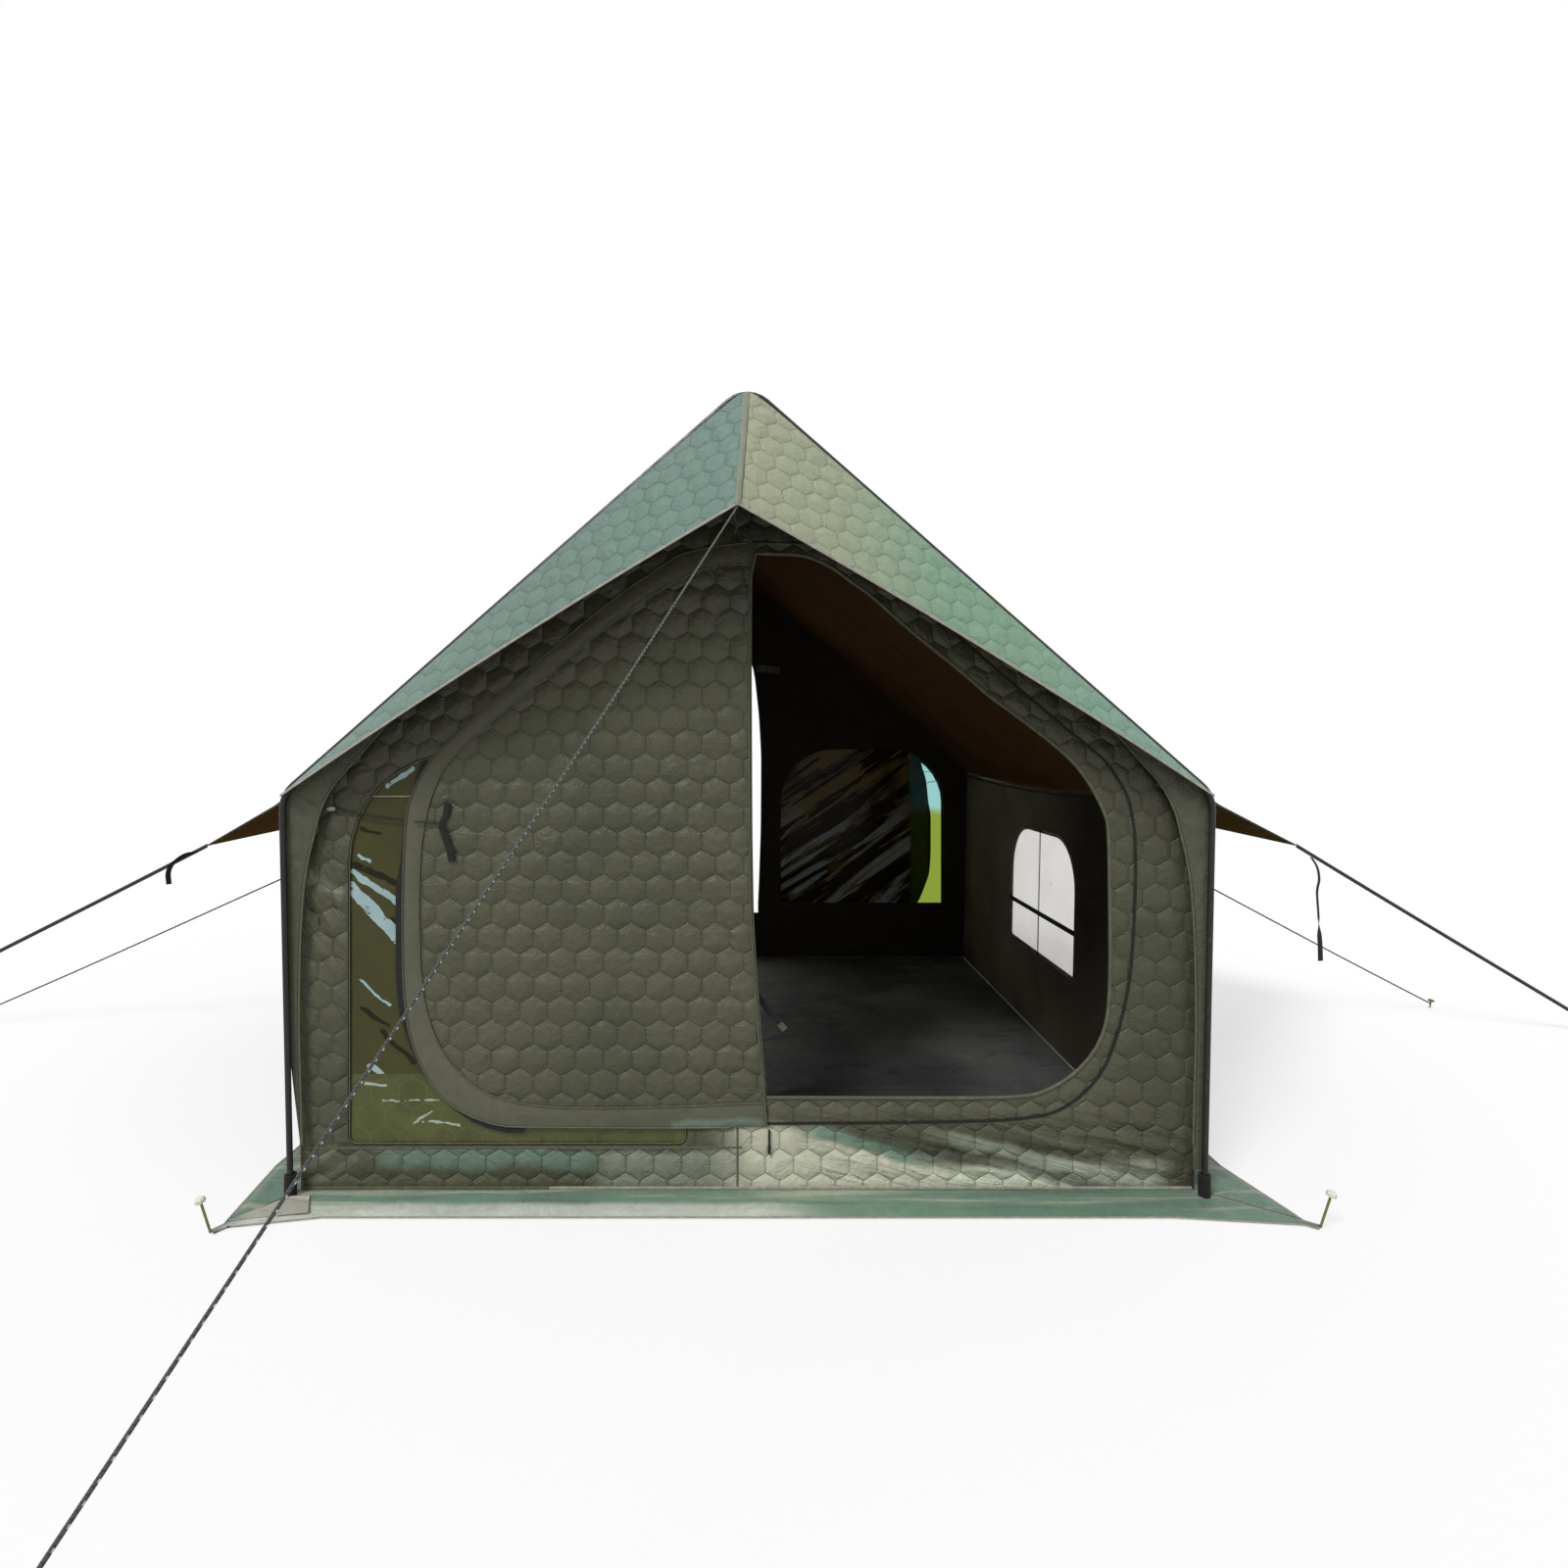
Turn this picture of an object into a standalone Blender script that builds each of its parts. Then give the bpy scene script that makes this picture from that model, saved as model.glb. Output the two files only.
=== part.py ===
"""Quilted cabin tent on two outside arch poles.

A gabled fly with a visor over each end and an awning on each side, quilted walls with a swinging
door flap and a film window at each end, a groundsheet, a ground skirt, guy lines and pegs.
Metres, +Z up. The origin is on the ground under the middle of the tent, and the front faces -Y.
The tent looks the same after half a turn about +Z, so each rear or left piece is its opposite turned round,
but both doors hang on the same side of the middle, so the pieces of the rear door are made on their own.
"""

import math

import bmesh
import bpy
from mathutils import Matrix, Vector

# Clearances
GAP = 0.0003
SEWN = 0.0005

# Arch poles, centre lines in the XZ plane
DEPTH = 2.50
FOOT_X = 1.248
EAVE_X = 1.272
EAVE_Z = 1.10
APEX_Z = 2.22
POLE_R = 0.008
POLE_BORE_R = 0.0065
APEX_BEND = 0.08
EAVE_BEND = 0.09
ELBOW_REACH = 0.14
BEND_STEPS = 6

# Boots that the legs stand in
BOOT_R = 0.016
BOOT_H = 0.060
BOOT_SOLE = 0.008
BOOT_STEPS = 16

# Fly over the roof
CLOTH = 0.006
FLY_DROP = 0.010
FLY_COLUMNS = 16
FLY_ROWS = 10
RIDGE_ROUND = 0.022
RIDGE_SAG = 0.020
EAVE_SAG = 0.035
POLE_ROUND = 0.025

# Visors and awnings
VISOR_REACH = 0.25
VISOR_TIP_X = -0.020
VISOR_TIP_Z = 1.814
VISOR_END = 1.262
VISOR_LAP = 0.002
VISOR_CORNER = 0.012
AWNING_CLOTH = 0.004
AWNING_TIP_X = 2.36
AWNING_TIP_Z = 0.81
AWNING_CORNER = 0.012

# Walls
WALL_BACK = 0.030
SKIRT_CLOTH = 0.004
WALL_FOOT = SKIRT_CLOTH + SEWN
FLOOR_CLOTH = 0.003
FILM = 0.002
FILM_RIM = 0.015

# Each end's hinge line, with +X to the right seen from outside
HINGES = {"front": 0.035, "rear": -0.035}

# Door opening and its flap, from the hinge line
OPENING_GAP = 0.012
OPENING_FOOT = 0.26
OPENING_TOP = 1.767
OPENING_REACH = 0.970
OPENING_SHOULDER = 1.12
FLAP = 0.008
FLAP_LAP = 0.013
FLAP_LAP_FOOT = 0.075
FLAP_LAP_TOP = 0.028
FLAP_LAP_SHOULDER = 0.022

# How far each rounded corner of the door reaches along its two sides
FOOT_CORNER = 0.28
SHOULDER_CORNER = 0.123
TOP_CORNER = 0.119
TOP_FLAT = 0.002

# End window and side window
WINDOW_INNER = 0.17
WINDOW_OUTER = 1.104
WINDOW_FOOT = 0.13
WINDOW_TOP = 1.215
WINDOW_CORNER = 0.30
WINDOW_FOOT_CORNER = 0.03
PANE_WIDTH = 0.74
PANE_FOOT = 0.34
PANE_TOP = 0.865
PANE_CORNER = 0.20
BAR_Z = 0.515
BAR_WIDTH = 0.020

# Corner gussets, with a free hem: shares of the eave's reach, and of its height or past it of the gable's
GUSSET = 0.003
GUSSET_HEM = [
    (0.676, 1.286),
    (0.743, 1.214),
    (0.849, 1.080),
    (0.907, 1.000),
    (0.935, 0.909),
    (0.955, 0.800),
    (0.971, 0.582),
    (0.976, 0.364),
    (0.973, 0.127),
]
GUSSET_LEAVES_LEG = 0.38
GUSSET_FOOT = 0.10

# Tie that holds the flap open, and the zip pull
TIE_R = 0.002
TIE_Z = 1.027
TIE_KNOT_REACH = 0.872
TIE_SHORT = 0.008
TOGGLE_PAST_WINDOW = 0.046
TOGGLE_Z = 1.060
TOGGLE_R = 0.007
TOGGLE_LENGTH = 0.024
STRAP_WIDTH = 0.020
STRAP_CLOTH = 0.002
STRAP_UP = 0.090
STRAP_DOWN = 0.150
STRAP_LEAN = 0.030
PULL_R = 0.003
PULL_TAB_R = 0.0042
PULL_LENGTH = 0.065
PULL_FROM_HINGE = 0.025
PULL_TOP = 0.172

# Ground skirt: where its corners are pegged, and its free edges
SKIRT_FRONT = 0.125
SKIRT_SIDE = 0.150
TIP_LEFT = (-1.345, -1.375)
TIP_RIGHT = (1.445, -1.360)
TAB_LENGTH = 0.030
TAB_WIDTH = 0.020

# Pegs
PEG_R = 0.003
PEG_HEAD_R = 0.012
PEG_HEAD = 0.012
PEG_UP = 0.105
GUY_PEG_UP = 0.042
PEG_LEAN = math.radians(14)

# Guy lines: the routes' own points, from the tent to just short of the peg
ROPE_R = 0.002
WEBBING_R = 0.004
ROUTE_STEPS = 3
FRONT_GUY = [
    (-0.0200, -1.5000, 1.8112),
    (-0.1950, -2.0220, 1.3540),
    (-0.3700, -2.5400, 0.9060),
    (-0.5450, -3.0580, 0.4620),
    (-0.7200, -3.5750, 0.0220),
]
LEFT_STRAP = [
    (-2.3604, 0.0, 0.8079),
    (-2.7550, 0.0, 0.6060),
    (-3.1470, 0.0, 0.4080),
    (-3.5380, 0.0, 0.2120),
    (-3.9250, 0.0, 0.0220),
]
RIGHT_STRAP = [
    (2.3604, 0.0, 0.8075),
    (2.6900, 0.0, 0.6070),
    (3.0150, 0.0, 0.4110),
    (3.3400, 0.0, 0.2160),
    (3.6640, 0.0, 0.0220),
]
LEFT_SIDE_ROPE = [
    (-1.2645, 0.000, 1.0200),
    (-1.8300, 0.054, 0.7650),
    (-2.3970, 0.108, 0.5140),
    (-2.9640, 0.161, 0.2650),
    (-3.5300, 0.215, 0.0220),
]
RIGHT_SIDE_ROPE = [
    (1.2645, 0.000, 1.0200),
    (1.7500, 0.079, 0.7650),
    (2.2370, 0.158, 0.5140),
    (2.7240, 0.236, 0.2650),
    (3.2100, 0.315, 0.0220),
]

# Worked out from the sizes above
HALF = DEPTH / 2
SLOPE = (APEX_Z - EAVE_Z) / EAVE_X
LEG_LEAN = (EAVE_X - FOOT_X) / EAVE_Z
END_FACE = -HALF + WALL_BACK
END_INSIDE = END_FACE + CLOTH
SIDE_FACE = FOOT_X - POLE_R + SEWN
FLAP_Y = END_FACE - SEWN - FLAP / 2
FLAP_REACH = OPENING_REACH + FLAP_LAP
FLAP_FOOT = OPENING_FOOT - FLAP_LAP_FOOT
FLAP_TOP = OPENING_TOP + FLAP_LAP_TOP
FLAP_SHOULDER = OPENING_SHOULDER + FLAP_LAP_SHOULDER
TOGGLE_X = -WINDOW_OUTER - TOGGLE_PAST_WINDOW
HALF_TURN = Matrix.Rotation(math.pi, 4, "Z")

COLOURS = {
    "pole": ((0.012, 0.012, 0.010), 0.45, 0.6),
    "boot": ((0.010, 0.010, 0.010), 0.8, 0.0),
    "fly": ((0.16, 0.27, 0.20), 0.55, 0.0),
    "quilt": ((0.075, 0.078, 0.052), 0.7, 0.0),
    "plain": ((0.095, 0.095, 0.070), 0.7, 0.0),
    "awning": ((0.045, 0.030, 0.016), 0.8, 0.0),
    "film": ((0.060, 0.055, 0.015), 0.15, 0.0),
    "pane": ((0.72, 0.72, 0.70), 0.4, 0.0),
    "webbing": ((0.010, 0.010, 0.010), 0.85, 0.0),
    "rope": ((0.045, 0.045, 0.040), 0.8, 0.0),
    "floor": ((0.020, 0.022, 0.022), 0.6, 0.0),
    "skirt": ((0.20, 0.29, 0.22), 0.6, 0.0),
    "peg": ((0.30, 0.27, 0.12), 0.4, 0.3),
}


def new_collection(name):
    collection = bpy.data.collections.new(name)
    bpy.context.scene.collection.children.link(collection)
    return collection


def material(name):
    found = bpy.data.materials.get(name)
    if found:
        return found
    colour, roughness, metallic = COLOURS[name]
    made = bpy.data.materials.new(name)
    made.use_nodes = True
    shader = made.node_tree.nodes["Principled BSDF"]
    shader.inputs["Base Color"].default_value = (*colour, 1.0)
    shader.inputs["Roughness"].default_value = roughness
    shader.inputs["Metallic"].default_value = metallic
    return made


def add(name, data, finish, place=None):
    """Links an object with its material, placed by a matrix."""
    made = bpy.data.objects.new(name, data)
    data.materials.clear()
    data.materials.append(material(finish))
    tent.objects.link(made)
    if place is not None:
        made.matrix_world = place
    return made


def turn_round(thing):
    """Moves a piece and its cutters to the other side of the tent, half a turn round."""
    thing.matrix_world = HALF_TURN @ thing.matrix_world
    for step in thing.modifiers:
        if step.type == "BOOLEAN":
            step.object.matrix_world = HALF_TURN @ step.object.matrix_world


def opposite(thing, name):
    """The same piece on the other side of the tent."""
    made = thing.copy()
    made.name = name
    tent.objects.link(made)
    for step in made.modifiers:
        if step.type == "BOOLEAN":
            cutter = step.object.copy()
            cutters.objects.link(cutter)
            step.object = cutter
    turn_round(made)
    return made


def upright(x, y, z=0.0):
    """Puts a flat outline's X along world X and its Y up, facing -Y."""
    return Matrix.Translation((x, y, z)) @ Matrix.Rotation(math.pi / 2, 4, "X")


def leaning_side(x, z=0.0):
    """Puts a flat outline's X along world Y and its Y up the side wall, facing +X."""
    up = Vector((LEG_LEAN, 0, 1)).normalized()
    out = Vector((0, 1, 0)).cross(up)
    turn = Matrix((Vector((0, 1, 0)), up, out)).transposed().to_4x4()
    return Matrix.Translation((x, 0, z)) @ turn


def rounded(corners, steps=8):
    """An outline through corners (x, y, reach), each one rounded by an arc that starts at that reach."""
    outline = []
    for i, (x, y, reach) in enumerate(corners):
        here = Vector((x, y))
        before = (Vector(corners[i - 1][:2]) - here).normalized()
        after = (Vector(corners[(i + 1) % len(corners)][:2]) - here).normalized()
        if reach == 0:
            outline.append(here)
            continue
        half_angle = before.angle(after) / 2
        centre = here + (before + after).normalized() * (reach / math.cos(half_angle))
        start = here + before * reach - centre
        sweep = start.angle_signed(here + after * reach - centre)
        for step in range(steps + 1):
            turn = Matrix.Rotation(-sweep * step / steps, 2)
            outline.append(centre + turn @ start)
    return outline


def plate(name, outlines, thickness, finish, place):
    """A flat piece: the first outline filled, with the others as holes."""
    curve = bpy.data.curves.new(name, "CURVE")
    curve.dimensions = "2D"
    curve.fill_mode = "BOTH"
    curve.extrude = thickness / 2
    for outline in outlines:
        spline = curve.splines.new("POLY")
        spline.points.add(len(outline) - 1)
        for point, at in zip(spline.points, outline):
            point.co = (at[0], at[1], 0, 1)
        spline.use_cyclic_u = True
    return add(name, curve, finish, place)


def cloth(name, columns, rows, point, thickness, finish, side=-1):
    """A sheet on point(u, v), with u from -1 to 1 and v from 0 to 1. It lies under those points, or over them."""
    mesh = bpy.data.meshes.new(name)
    grid = bmesh.new()
    bmesh.ops.create_grid(grid, x_segments=columns, y_segments=rows, size=1)
    for vert in grid.verts:
        vert.co = point(vert.co.x, (vert.co.y + 1) / 2)
    grid.to_mesh(mesh)
    grid.free()
    made = add(name, mesh, finish)
    shell = made.modifiers.new("Thickness", "SOLIDIFY")
    shell.thickness = thickness
    shell.offset = side
    shell.use_even_offset = True
    return made


def tube_curve(name, points, radius, sides=2):
    curve = bpy.data.curves.new(name, "CURVE")
    curve.dimensions = "3D"
    curve.bevel_depth = radius
    curve.bevel_resolution = sides
    curve.use_fill_caps = True
    spline = curve.splines.new("POLY")
    spline.points.add(len(points) - 1)
    for point, at in zip(spline.points, points):
        point.co = (*at, 1)
    return curve


def as_mesh(curve):
    """A curve's mesh with its caps welded on."""
    holder = bpy.data.objects.new("holder", curve)
    tent.objects.link(holder)
    bpy.context.view_layer.update()
    mesh = bpy.data.meshes.new_from_object(holder.evaluated_get(bpy.context.evaluated_depsgraph_get()))
    bpy.data.objects.remove(holder)
    welded = bmesh.new()
    welded.from_mesh(mesh)
    bmesh.ops.remove_doubles(welded, verts=welded.verts, dist=1e-5)
    welded.to_mesh(mesh)
    welded.free()
    return mesh


def cut(thing, mesh, operation="DIFFERENCE"):
    """Takes a cutter's mesh out of a piece, or joins it on."""
    cutter = bpy.data.objects.new(thing.name + "_cutter", mesh)
    cutters.objects.link(cutter)
    cutter.hide_render = True
    cutter.display_type = "WIRE"
    step = thing.modifiers.new("Cut", "BOOLEAN")
    step.operation = operation
    step.object = cutter


def pole(name, points):
    """A hollow pole along points, open at both ends."""
    first, last = Vector(points[0]), Vector(points[-1])
    past = POLE_R
    start = first + (first - Vector(points[1])).normalized() * past
    end = last + (last - Vector(points[-2])).normalized() * past
    made = add(name, as_mesh(tube_curve(name, points, POLE_R, sides=3)), "pole")
    cut(made, as_mesh(tube_curve(name, [start, *points[1:-1], end], POLE_BORE_R)))
    made.data.shade_smooth()
    made.data.set_sharp_from_angle(angle=math.radians(40))
    return made


def turned(name, profile, steps, finish, place):
    """A turned piece: the profile (radius, height) runs down its outer side, top to bottom."""
    mesh = bpy.data.meshes.new(name)
    line = bmesh.new()
    verts = [line.verts.new((radius, 0, height)) for radius, height in profile]
    for a, b in zip(verts, verts[1:]):
        line.edges.new((a, b))
    line.to_mesh(mesh)
    line.free()
    made = add(name, mesh, finish, place)
    screw = made.modifiers.new("Turn", "SCREW")
    screw.steps = steps
    screw.render_steps = steps
    screw.use_merge_vertices = True
    screw.merge_threshold = 1e-5
    return made


# Shapes that several pieces share


def fly_z(x, y):
    """Height of the fly's outer face: a rounded ridge, sagging between the two arches."""
    slack = 1 - (y / HALF) ** 2
    out = min(abs(x) / EAVE_X, 1)
    height = APEX_Z - FLY_DROP - SLOPE * math.hypot(x, RIDGE_ROUND)
    return height - slack * (RIDGE_SAG * (1 - out) + EAVE_SAG * out)


def fly_x(u):
    """The fly's columns stand closer together at the ridge."""
    return EAVE_X * math.copysign(abs(u) ** 1.5, u)


def fly_columns():
    return [fly_x(2 * i / FLY_COLUMNS - 1) for i in range(FLY_COLUMNS + 1)]


def fly_y(v):
    return (HALF - POLE_R - GAP) * (2 * v - 1)


def under_fly(x, y):
    return fly_z(x, y) - CLOTH * math.hypot(1, SLOPE) - SEWN


def pole_z(x):
    return APEX_Z - SLOPE * math.hypot(x, POLE_ROUND)


def side_x(z):
    """The side wall's outer face."""
    return SIDE_FACE + LEG_LEAN * z


def bend(before, corner, after, radius):
    """The arc that rounds a corner between two straight runs, from one run to the other."""
    a, b = (before - corner).normalized(), (after - corner).normalized()
    half_angle = a.angle(b) / 2
    reach = radius / math.tan(half_angle)
    centre = corner + (a + b).normalized() * (radius / math.sin(half_angle))
    start, end = corner + a * reach - centre, corner + b * reach - centre
    return [centre + radius * start.slerp(end, i / BEND_STEPS) for i in range(BEND_STEPS + 1)]


def door_outline(side, shoulder, foot, top, start):
    """The door's shape to the right of a line: square at the hinge, round everywhere else."""
    run_x = start + TOP_FLAT + TOP_CORNER
    return rounded(
        [
            (start, foot, 0),
            (side, foot, FOOT_CORNER),
            (side, shoulder, SHOULDER_CORNER),
            (run_x, top, TOP_CORNER),
            (start, top, 0),
        ]
    )


def smooth(points, steps):
    """Points on one smooth curve through a route's own points."""
    path = [Vector(p) for p in points]
    path = [2 * path[0] - path[1], *path, 2 * path[-1] - path[-2]]
    line = []
    for a, b, c, d in zip(path, path[1:], path[2:], path[3:]):
        for step in range(steps):
            t = step / steps
            line.append(
                0.5 * (2 * b + (c - a) * t + (2 * a - 5 * b + 4 * c - d) * t**2 + (3 * b - a - 3 * c + d) * t**3)
            )
    return [*line, path[-2]]


# Arches


def arch():
    foot = Vector((FOOT_X, -HALF, 0))
    eave = Vector((EAVE_X, -HALF, EAVE_Z))
    apex = Vector((0, -HALF, APEX_Z))
    up_rafter = (apex - eave).normalized()
    start = foot + (eave - foot).normalized() * (WALL_FOOT + BOOT_SOLE + SEWN)
    low = eave + up_rafter * ELBOW_REACH
    high = apex - up_rafter * ELBOW_REACH
    leg = [start, *bend(foot, eave, apex, EAVE_BEND), low]
    rafter = [low + up_rafter * GAP, high - up_rafter * GAP]
    left_high = Vector((-high.x, high.y, high.z))
    crown = [high, *bend(high, apex, left_high, APEX_BEND), left_high]
    opposite(pole("front_apex_elbow", crown), "rear_apex_elbow")
    for side, here, there in ((-1, "left", "right"), (1, "right", "left")):
        flip = Vector((side, 1, 1))
        opposite(pole(f"front_{here}_leg", [p * flip for p in leg]), f"rear_{there}_leg")
        opposite(pole(f"front_{here}_rafter", [p * flip for p in rafter]), f"rear_{there}_rafter")
        inner = (POLE_R + LEG_LEAN * BOOT_H + SEWN) / math.cos(math.pi / BOOT_STEPS)
        boot = turned(
            f"front_{here}_boot",
            [(0, BOOT_SOLE), (inner, BOOT_SOLE), (inner, BOOT_H), (BOOT_R, BOOT_H), (BOOT_R, 0), (0, 0)],
            BOOT_STEPS,
            "boot",
            Matrix.Translation((side * FOOT_X, -HALF, WALL_FOOT)),
        )
        opposite(boot, f"rear_{there}_boot")


# Fly, visors and awnings


def fly():
    def point(u, v):
        x, y = fly_x(u), fly_y(v)
        return x, y, fly_z(x, y)

    cloth("roof_fly", FLY_COLUMNS, FLY_ROWS, point, CLOTH, "fly")


def visor():
    back = -HALF - POLE_R - SEWN
    tip = Vector((VISOR_TIP_X, -HALF - VISOR_REACH, VISOR_TIP_Z))

    def point(u, v):
        x = VISOR_END * math.copysign(abs(u) ** 1.25, u)
        top = Vector((x, back, pole_z(x) + VISOR_LAP))
        corner = Vector((math.copysign(VISOR_END, u), back - VISOR_CORNER, pole_z(VISOR_END) - VISOR_CORNER))
        hem = tip.lerp(corner, abs(x) / VISOR_END)
        return hem.lerp(top, v)

    opposite(cloth("front_visor", 16, 4, point, CLOTH, "fly", side=1), "rear_visor")


def awning():
    length = HALF - 2 * POLE_R

    def point(u, v):
        y = length * v * 2 - length
        inner = Vector((EAVE_X + SEWN, y, fly_z(EAVE_X, y)))
        share = 1 - abs(y) / length
        corner = Vector((EAVE_X + AWNING_CORNER, y, EAVE_Z - FLY_DROP - AWNING_CORNER))
        outer = corner.lerp(Vector((AWNING_TIP_X, y, AWNING_TIP_Z)), share)
        return inner.lerp(outer, (u + 1) / 2)

    opposite(cloth("right_awning", 6, 12, point, AWNING_CLOTH, "awning"), "left_awning")


# Walls and windows


def end_wall(end, hinge_x):
    middle = END_FACE + CLOTH / 2
    foot, eave = (side_x(z) - CLOTH - SEWN for z in (WALL_FOOT, EAVE_Z))
    gable = [max(-eave, min(eave, x)) for x in fly_columns()]
    outline = [(-foot, WALL_FOOT), *((x, under_fly(x, END_FACE)) for x in gable), (foot, WALL_FOOT)]
    door = door_outline(OPENING_REACH, OPENING_SHOULDER, OPENING_FOOT, OPENING_TOP, OPENING_GAP)
    door = [(hinge_x + x, z) for x, z in door]
    wall = plate(end + "_wall", [outline, door, window_outline(0)], CLOTH, "quilt", upright(0, middle))
    behind = END_INSIDE + GAP + FILM / 2
    film = plate(end + "_window_film", [window_outline(FILM_RIM)], FILM, "film", upright(0, behind))
    return [wall, film]


def window_outline(rim):
    """The end window's edge, or one that is wider by a rim."""
    low, high = WINDOW_FOOT - rim, WINDOW_TOP + rim
    inner, outer = -WINDOW_INNER + rim, -WINDOW_OUTER - rim
    return rounded(
        [
            (outer, low, WINDOW_FOOT_CORNER + rim),
            (inner, low, WINDOW_FOOT_CORNER + rim),
            (inner, high, WINDOW_CORNER + rim),
            (outer, high, WINDOW_CORNER + rim),
        ]
    )


def side_wall():
    length = HALF - WALL_BACK - GAP
    scale = math.hypot(1, LEG_LEAN)
    face = SIDE_FACE - CLOTH / 2
    rows = [fly_y(1 - i / FLY_ROWS) for i in range(FLY_ROWS + 1)]
    rows = [max(-length, min(length, y)) for y in rows]
    top = [(y, under_fly(side_x(EAVE_Z), y) * scale) for y in rows]
    outline = [(-length, WALL_FOOT * scale), (length, WALL_FOOT * scale), *top]
    wall = plate("right_wall", [outline, pane_outline(0)], CLOTH, "quilt", leaning_side(face))
    opposite(wall, "left_wall")
    behind = face - CLOTH / 2 - GAP - FILM / 2
    pane = plate("right_window_film", [pane_outline(FILM_RIM)], FILM, "pane", leaning_side(behind))
    opposite(pane, "left_window_film")
    bars = plate("right_window_bars", [bars_outline()], FILM, "webbing", leaning_side(behind - FILM - GAP))
    opposite(bars, "left_window_bars")


def pane_outline(rim):
    half = PANE_WIDTH / 2 + rim
    low, high = PANE_FOOT - rim, PANE_TOP + rim
    small = WINDOW_FOOT_CORNER + rim
    return rounded(
        [
            (-half, low, small),
            (half, low, small),
            (half, high, PANE_CORNER + rim),
            (-half, high, PANE_CORNER + rim),
        ]
    )


def bars_outline():
    """An upright bar and a cross bar in one piece."""
    half = BAR_WIDTH / 2
    end = PANE_WIDTH / 2 + FILM_RIM
    low, high = PANE_FOOT - FILM_RIM, PANE_TOP + FILM_RIM
    right = [(half, low), (half, BAR_Z - half), (end, BAR_Z - half)]
    right += [(end, BAR_Z + half), (half, BAR_Z + half), (half, high)]
    return right + [(-x, z) for x, z in right[::-1]]


def gusset():
    """A plain panel between the pole and the end wall, with a free inner hem."""
    y = -HALF + POLE_R + SEWN + GUSSET / 2
    gable = APEX_Z - EAVE_Z
    hem = [(EAVE_X * out, EAVE_Z * min(up, 1) + gable * max(up - 1, 0)) for out, up in GUSSET_HEM]
    leave = FOOT_X + LEG_LEAN * GUSSET_LEAVES_LEG
    top = [x for x in fly_columns() if hem[0][0] < x < EAVE_X]
    outline = [(hem[-1][0], GUSSET_FOOT), (leave, GUSSET_LEAVES_LEG), (EAVE_X - SEWN, under_fly(EAVE_X, y))]
    outline += [(x, under_fly(x, y)) for x in top[::-1]]
    outline += hem
    for side, here, there in ((-1, "left", "right"), (1, "right", "left")):
        points = [(side * x, z) for x, z in outline]
        made = plate(f"front_{here}_gusset", [points], GUSSET, "plain", upright(0, y))
        opposite(made, f"rear_{there}_gusset")


# Door flap, its tie and the zip pull


def flap(end, hinge_x):
    right = door_outline(FLAP_REACH, FLAP_SHOULDER, FLAP_FOOT, FLAP_TOP, GAP)
    points = [(-x, z) for x, z in right]
    return plate(end + "_door_flap", [points], FLAP, "quilt", upright(hinge_x, FLAP_Y))


def tie(end, hinge_x):
    """A cord and a knotted strap on the flap, and the cord's other end on the wall.

    The flap's cord stops short of the flap's edge, so that it clears the wall when the flap is shut.
    """
    y = FLAP_Y - FLAP / 2 - GAP - TIE_R
    knot = hinge_x - TIE_KNOT_REACH
    edge = hinge_x - FLAP_REACH
    reach = OPENING_REACH - TIE_SHORT
    lean = STRAP_LEAN / 2
    half = STRAP_WIDTH / 2
    strap_outline = [
        (lean - half, STRAP_UP * 0.4),
        (-half, 0),
        (lean - half, -STRAP_DOWN * 0.6),
        (lean + half, -STRAP_DOWN * 0.6),
        (half, 0),
        (lean + half, STRAP_UP * 0.4),
    ]
    flat = STRAP_CLOTH / 2
    strap = plate("strap", [strap_outline], STRAP_CLOTH, "webbing", None)
    bpy.context.view_layer.update()
    strap_mesh = as_mesh(strap.data)
    bpy.data.objects.remove(strap)
    strap_mesh.transform(upright(knot, y + TIE_R - flat, TIE_Z))
    cord = [(hinge_x - reach, y, TIE_Z), (knot, y, TIE_Z - 0.004)]
    made = add(end + "_flap_tie", as_mesh(tube_curve("tie", cord, TIE_R)), "webbing")
    cut(made, strap_mesh, "UNION")
    hinge = Matrix.Translation((hinge_x, FLAP_Y, 0))
    made.data.transform(hinge.inverted())
    made.matrix_world = hinge
    wall_y = END_FACE - SEWN - TIE_R
    cord = [(TOGGLE_X, wall_y, TOGGLE_Z), (edge - TIE_SHORT, wall_y, TIE_Z)]
    toggle = add(end + "_wall_tie", as_mesh(tube_curve("toggle", cord, TIE_R)), "webbing")
    bar = bmesh.new()
    bmesh.ops.create_cone(
        bar, cap_ends=True, segments=10, radius1=TOGGLE_R, radius2=TOGGLE_R * 0.7, depth=TOGGLE_LENGTH
    )
    mesh = bpy.data.meshes.new("toggle_bar")
    bar.to_mesh(mesh)
    bar.free()
    mesh.transform(
        Matrix.Translation((TOGGLE_X, END_FACE - SEWN - TOGGLE_R, TOGGLE_Z)) @ Matrix.Rotation(math.pi / 2, 4, "Y")
    )
    cut(toggle, mesh, "UNION")
    return [made, toggle]


def zip_pull(end, hinge_x):
    """A cord with a moulded end, hanging from the slider at the foot of the hinge line."""
    tab = 0.4 * PULL_LENGTH
    profile = [
        (0, 0),
        (PULL_R, 0),
        (PULL_R, -PULL_LENGTH + tab),
        (PULL_TAB_R, -PULL_LENGTH + 0.7 * tab),
        (PULL_TAB_R, -PULL_LENGTH),
        (0, -PULL_LENGTH),
    ]
    y = END_FACE - SEWN - PULL_TAB_R
    place = Matrix.Translation((hinge_x + PULL_FROM_HINGE, y, PULL_TOP))
    return turned(end + "_zip_pull", profile, 10, "webbing", place)


# Ground: sheet, skirt and pegs


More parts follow.
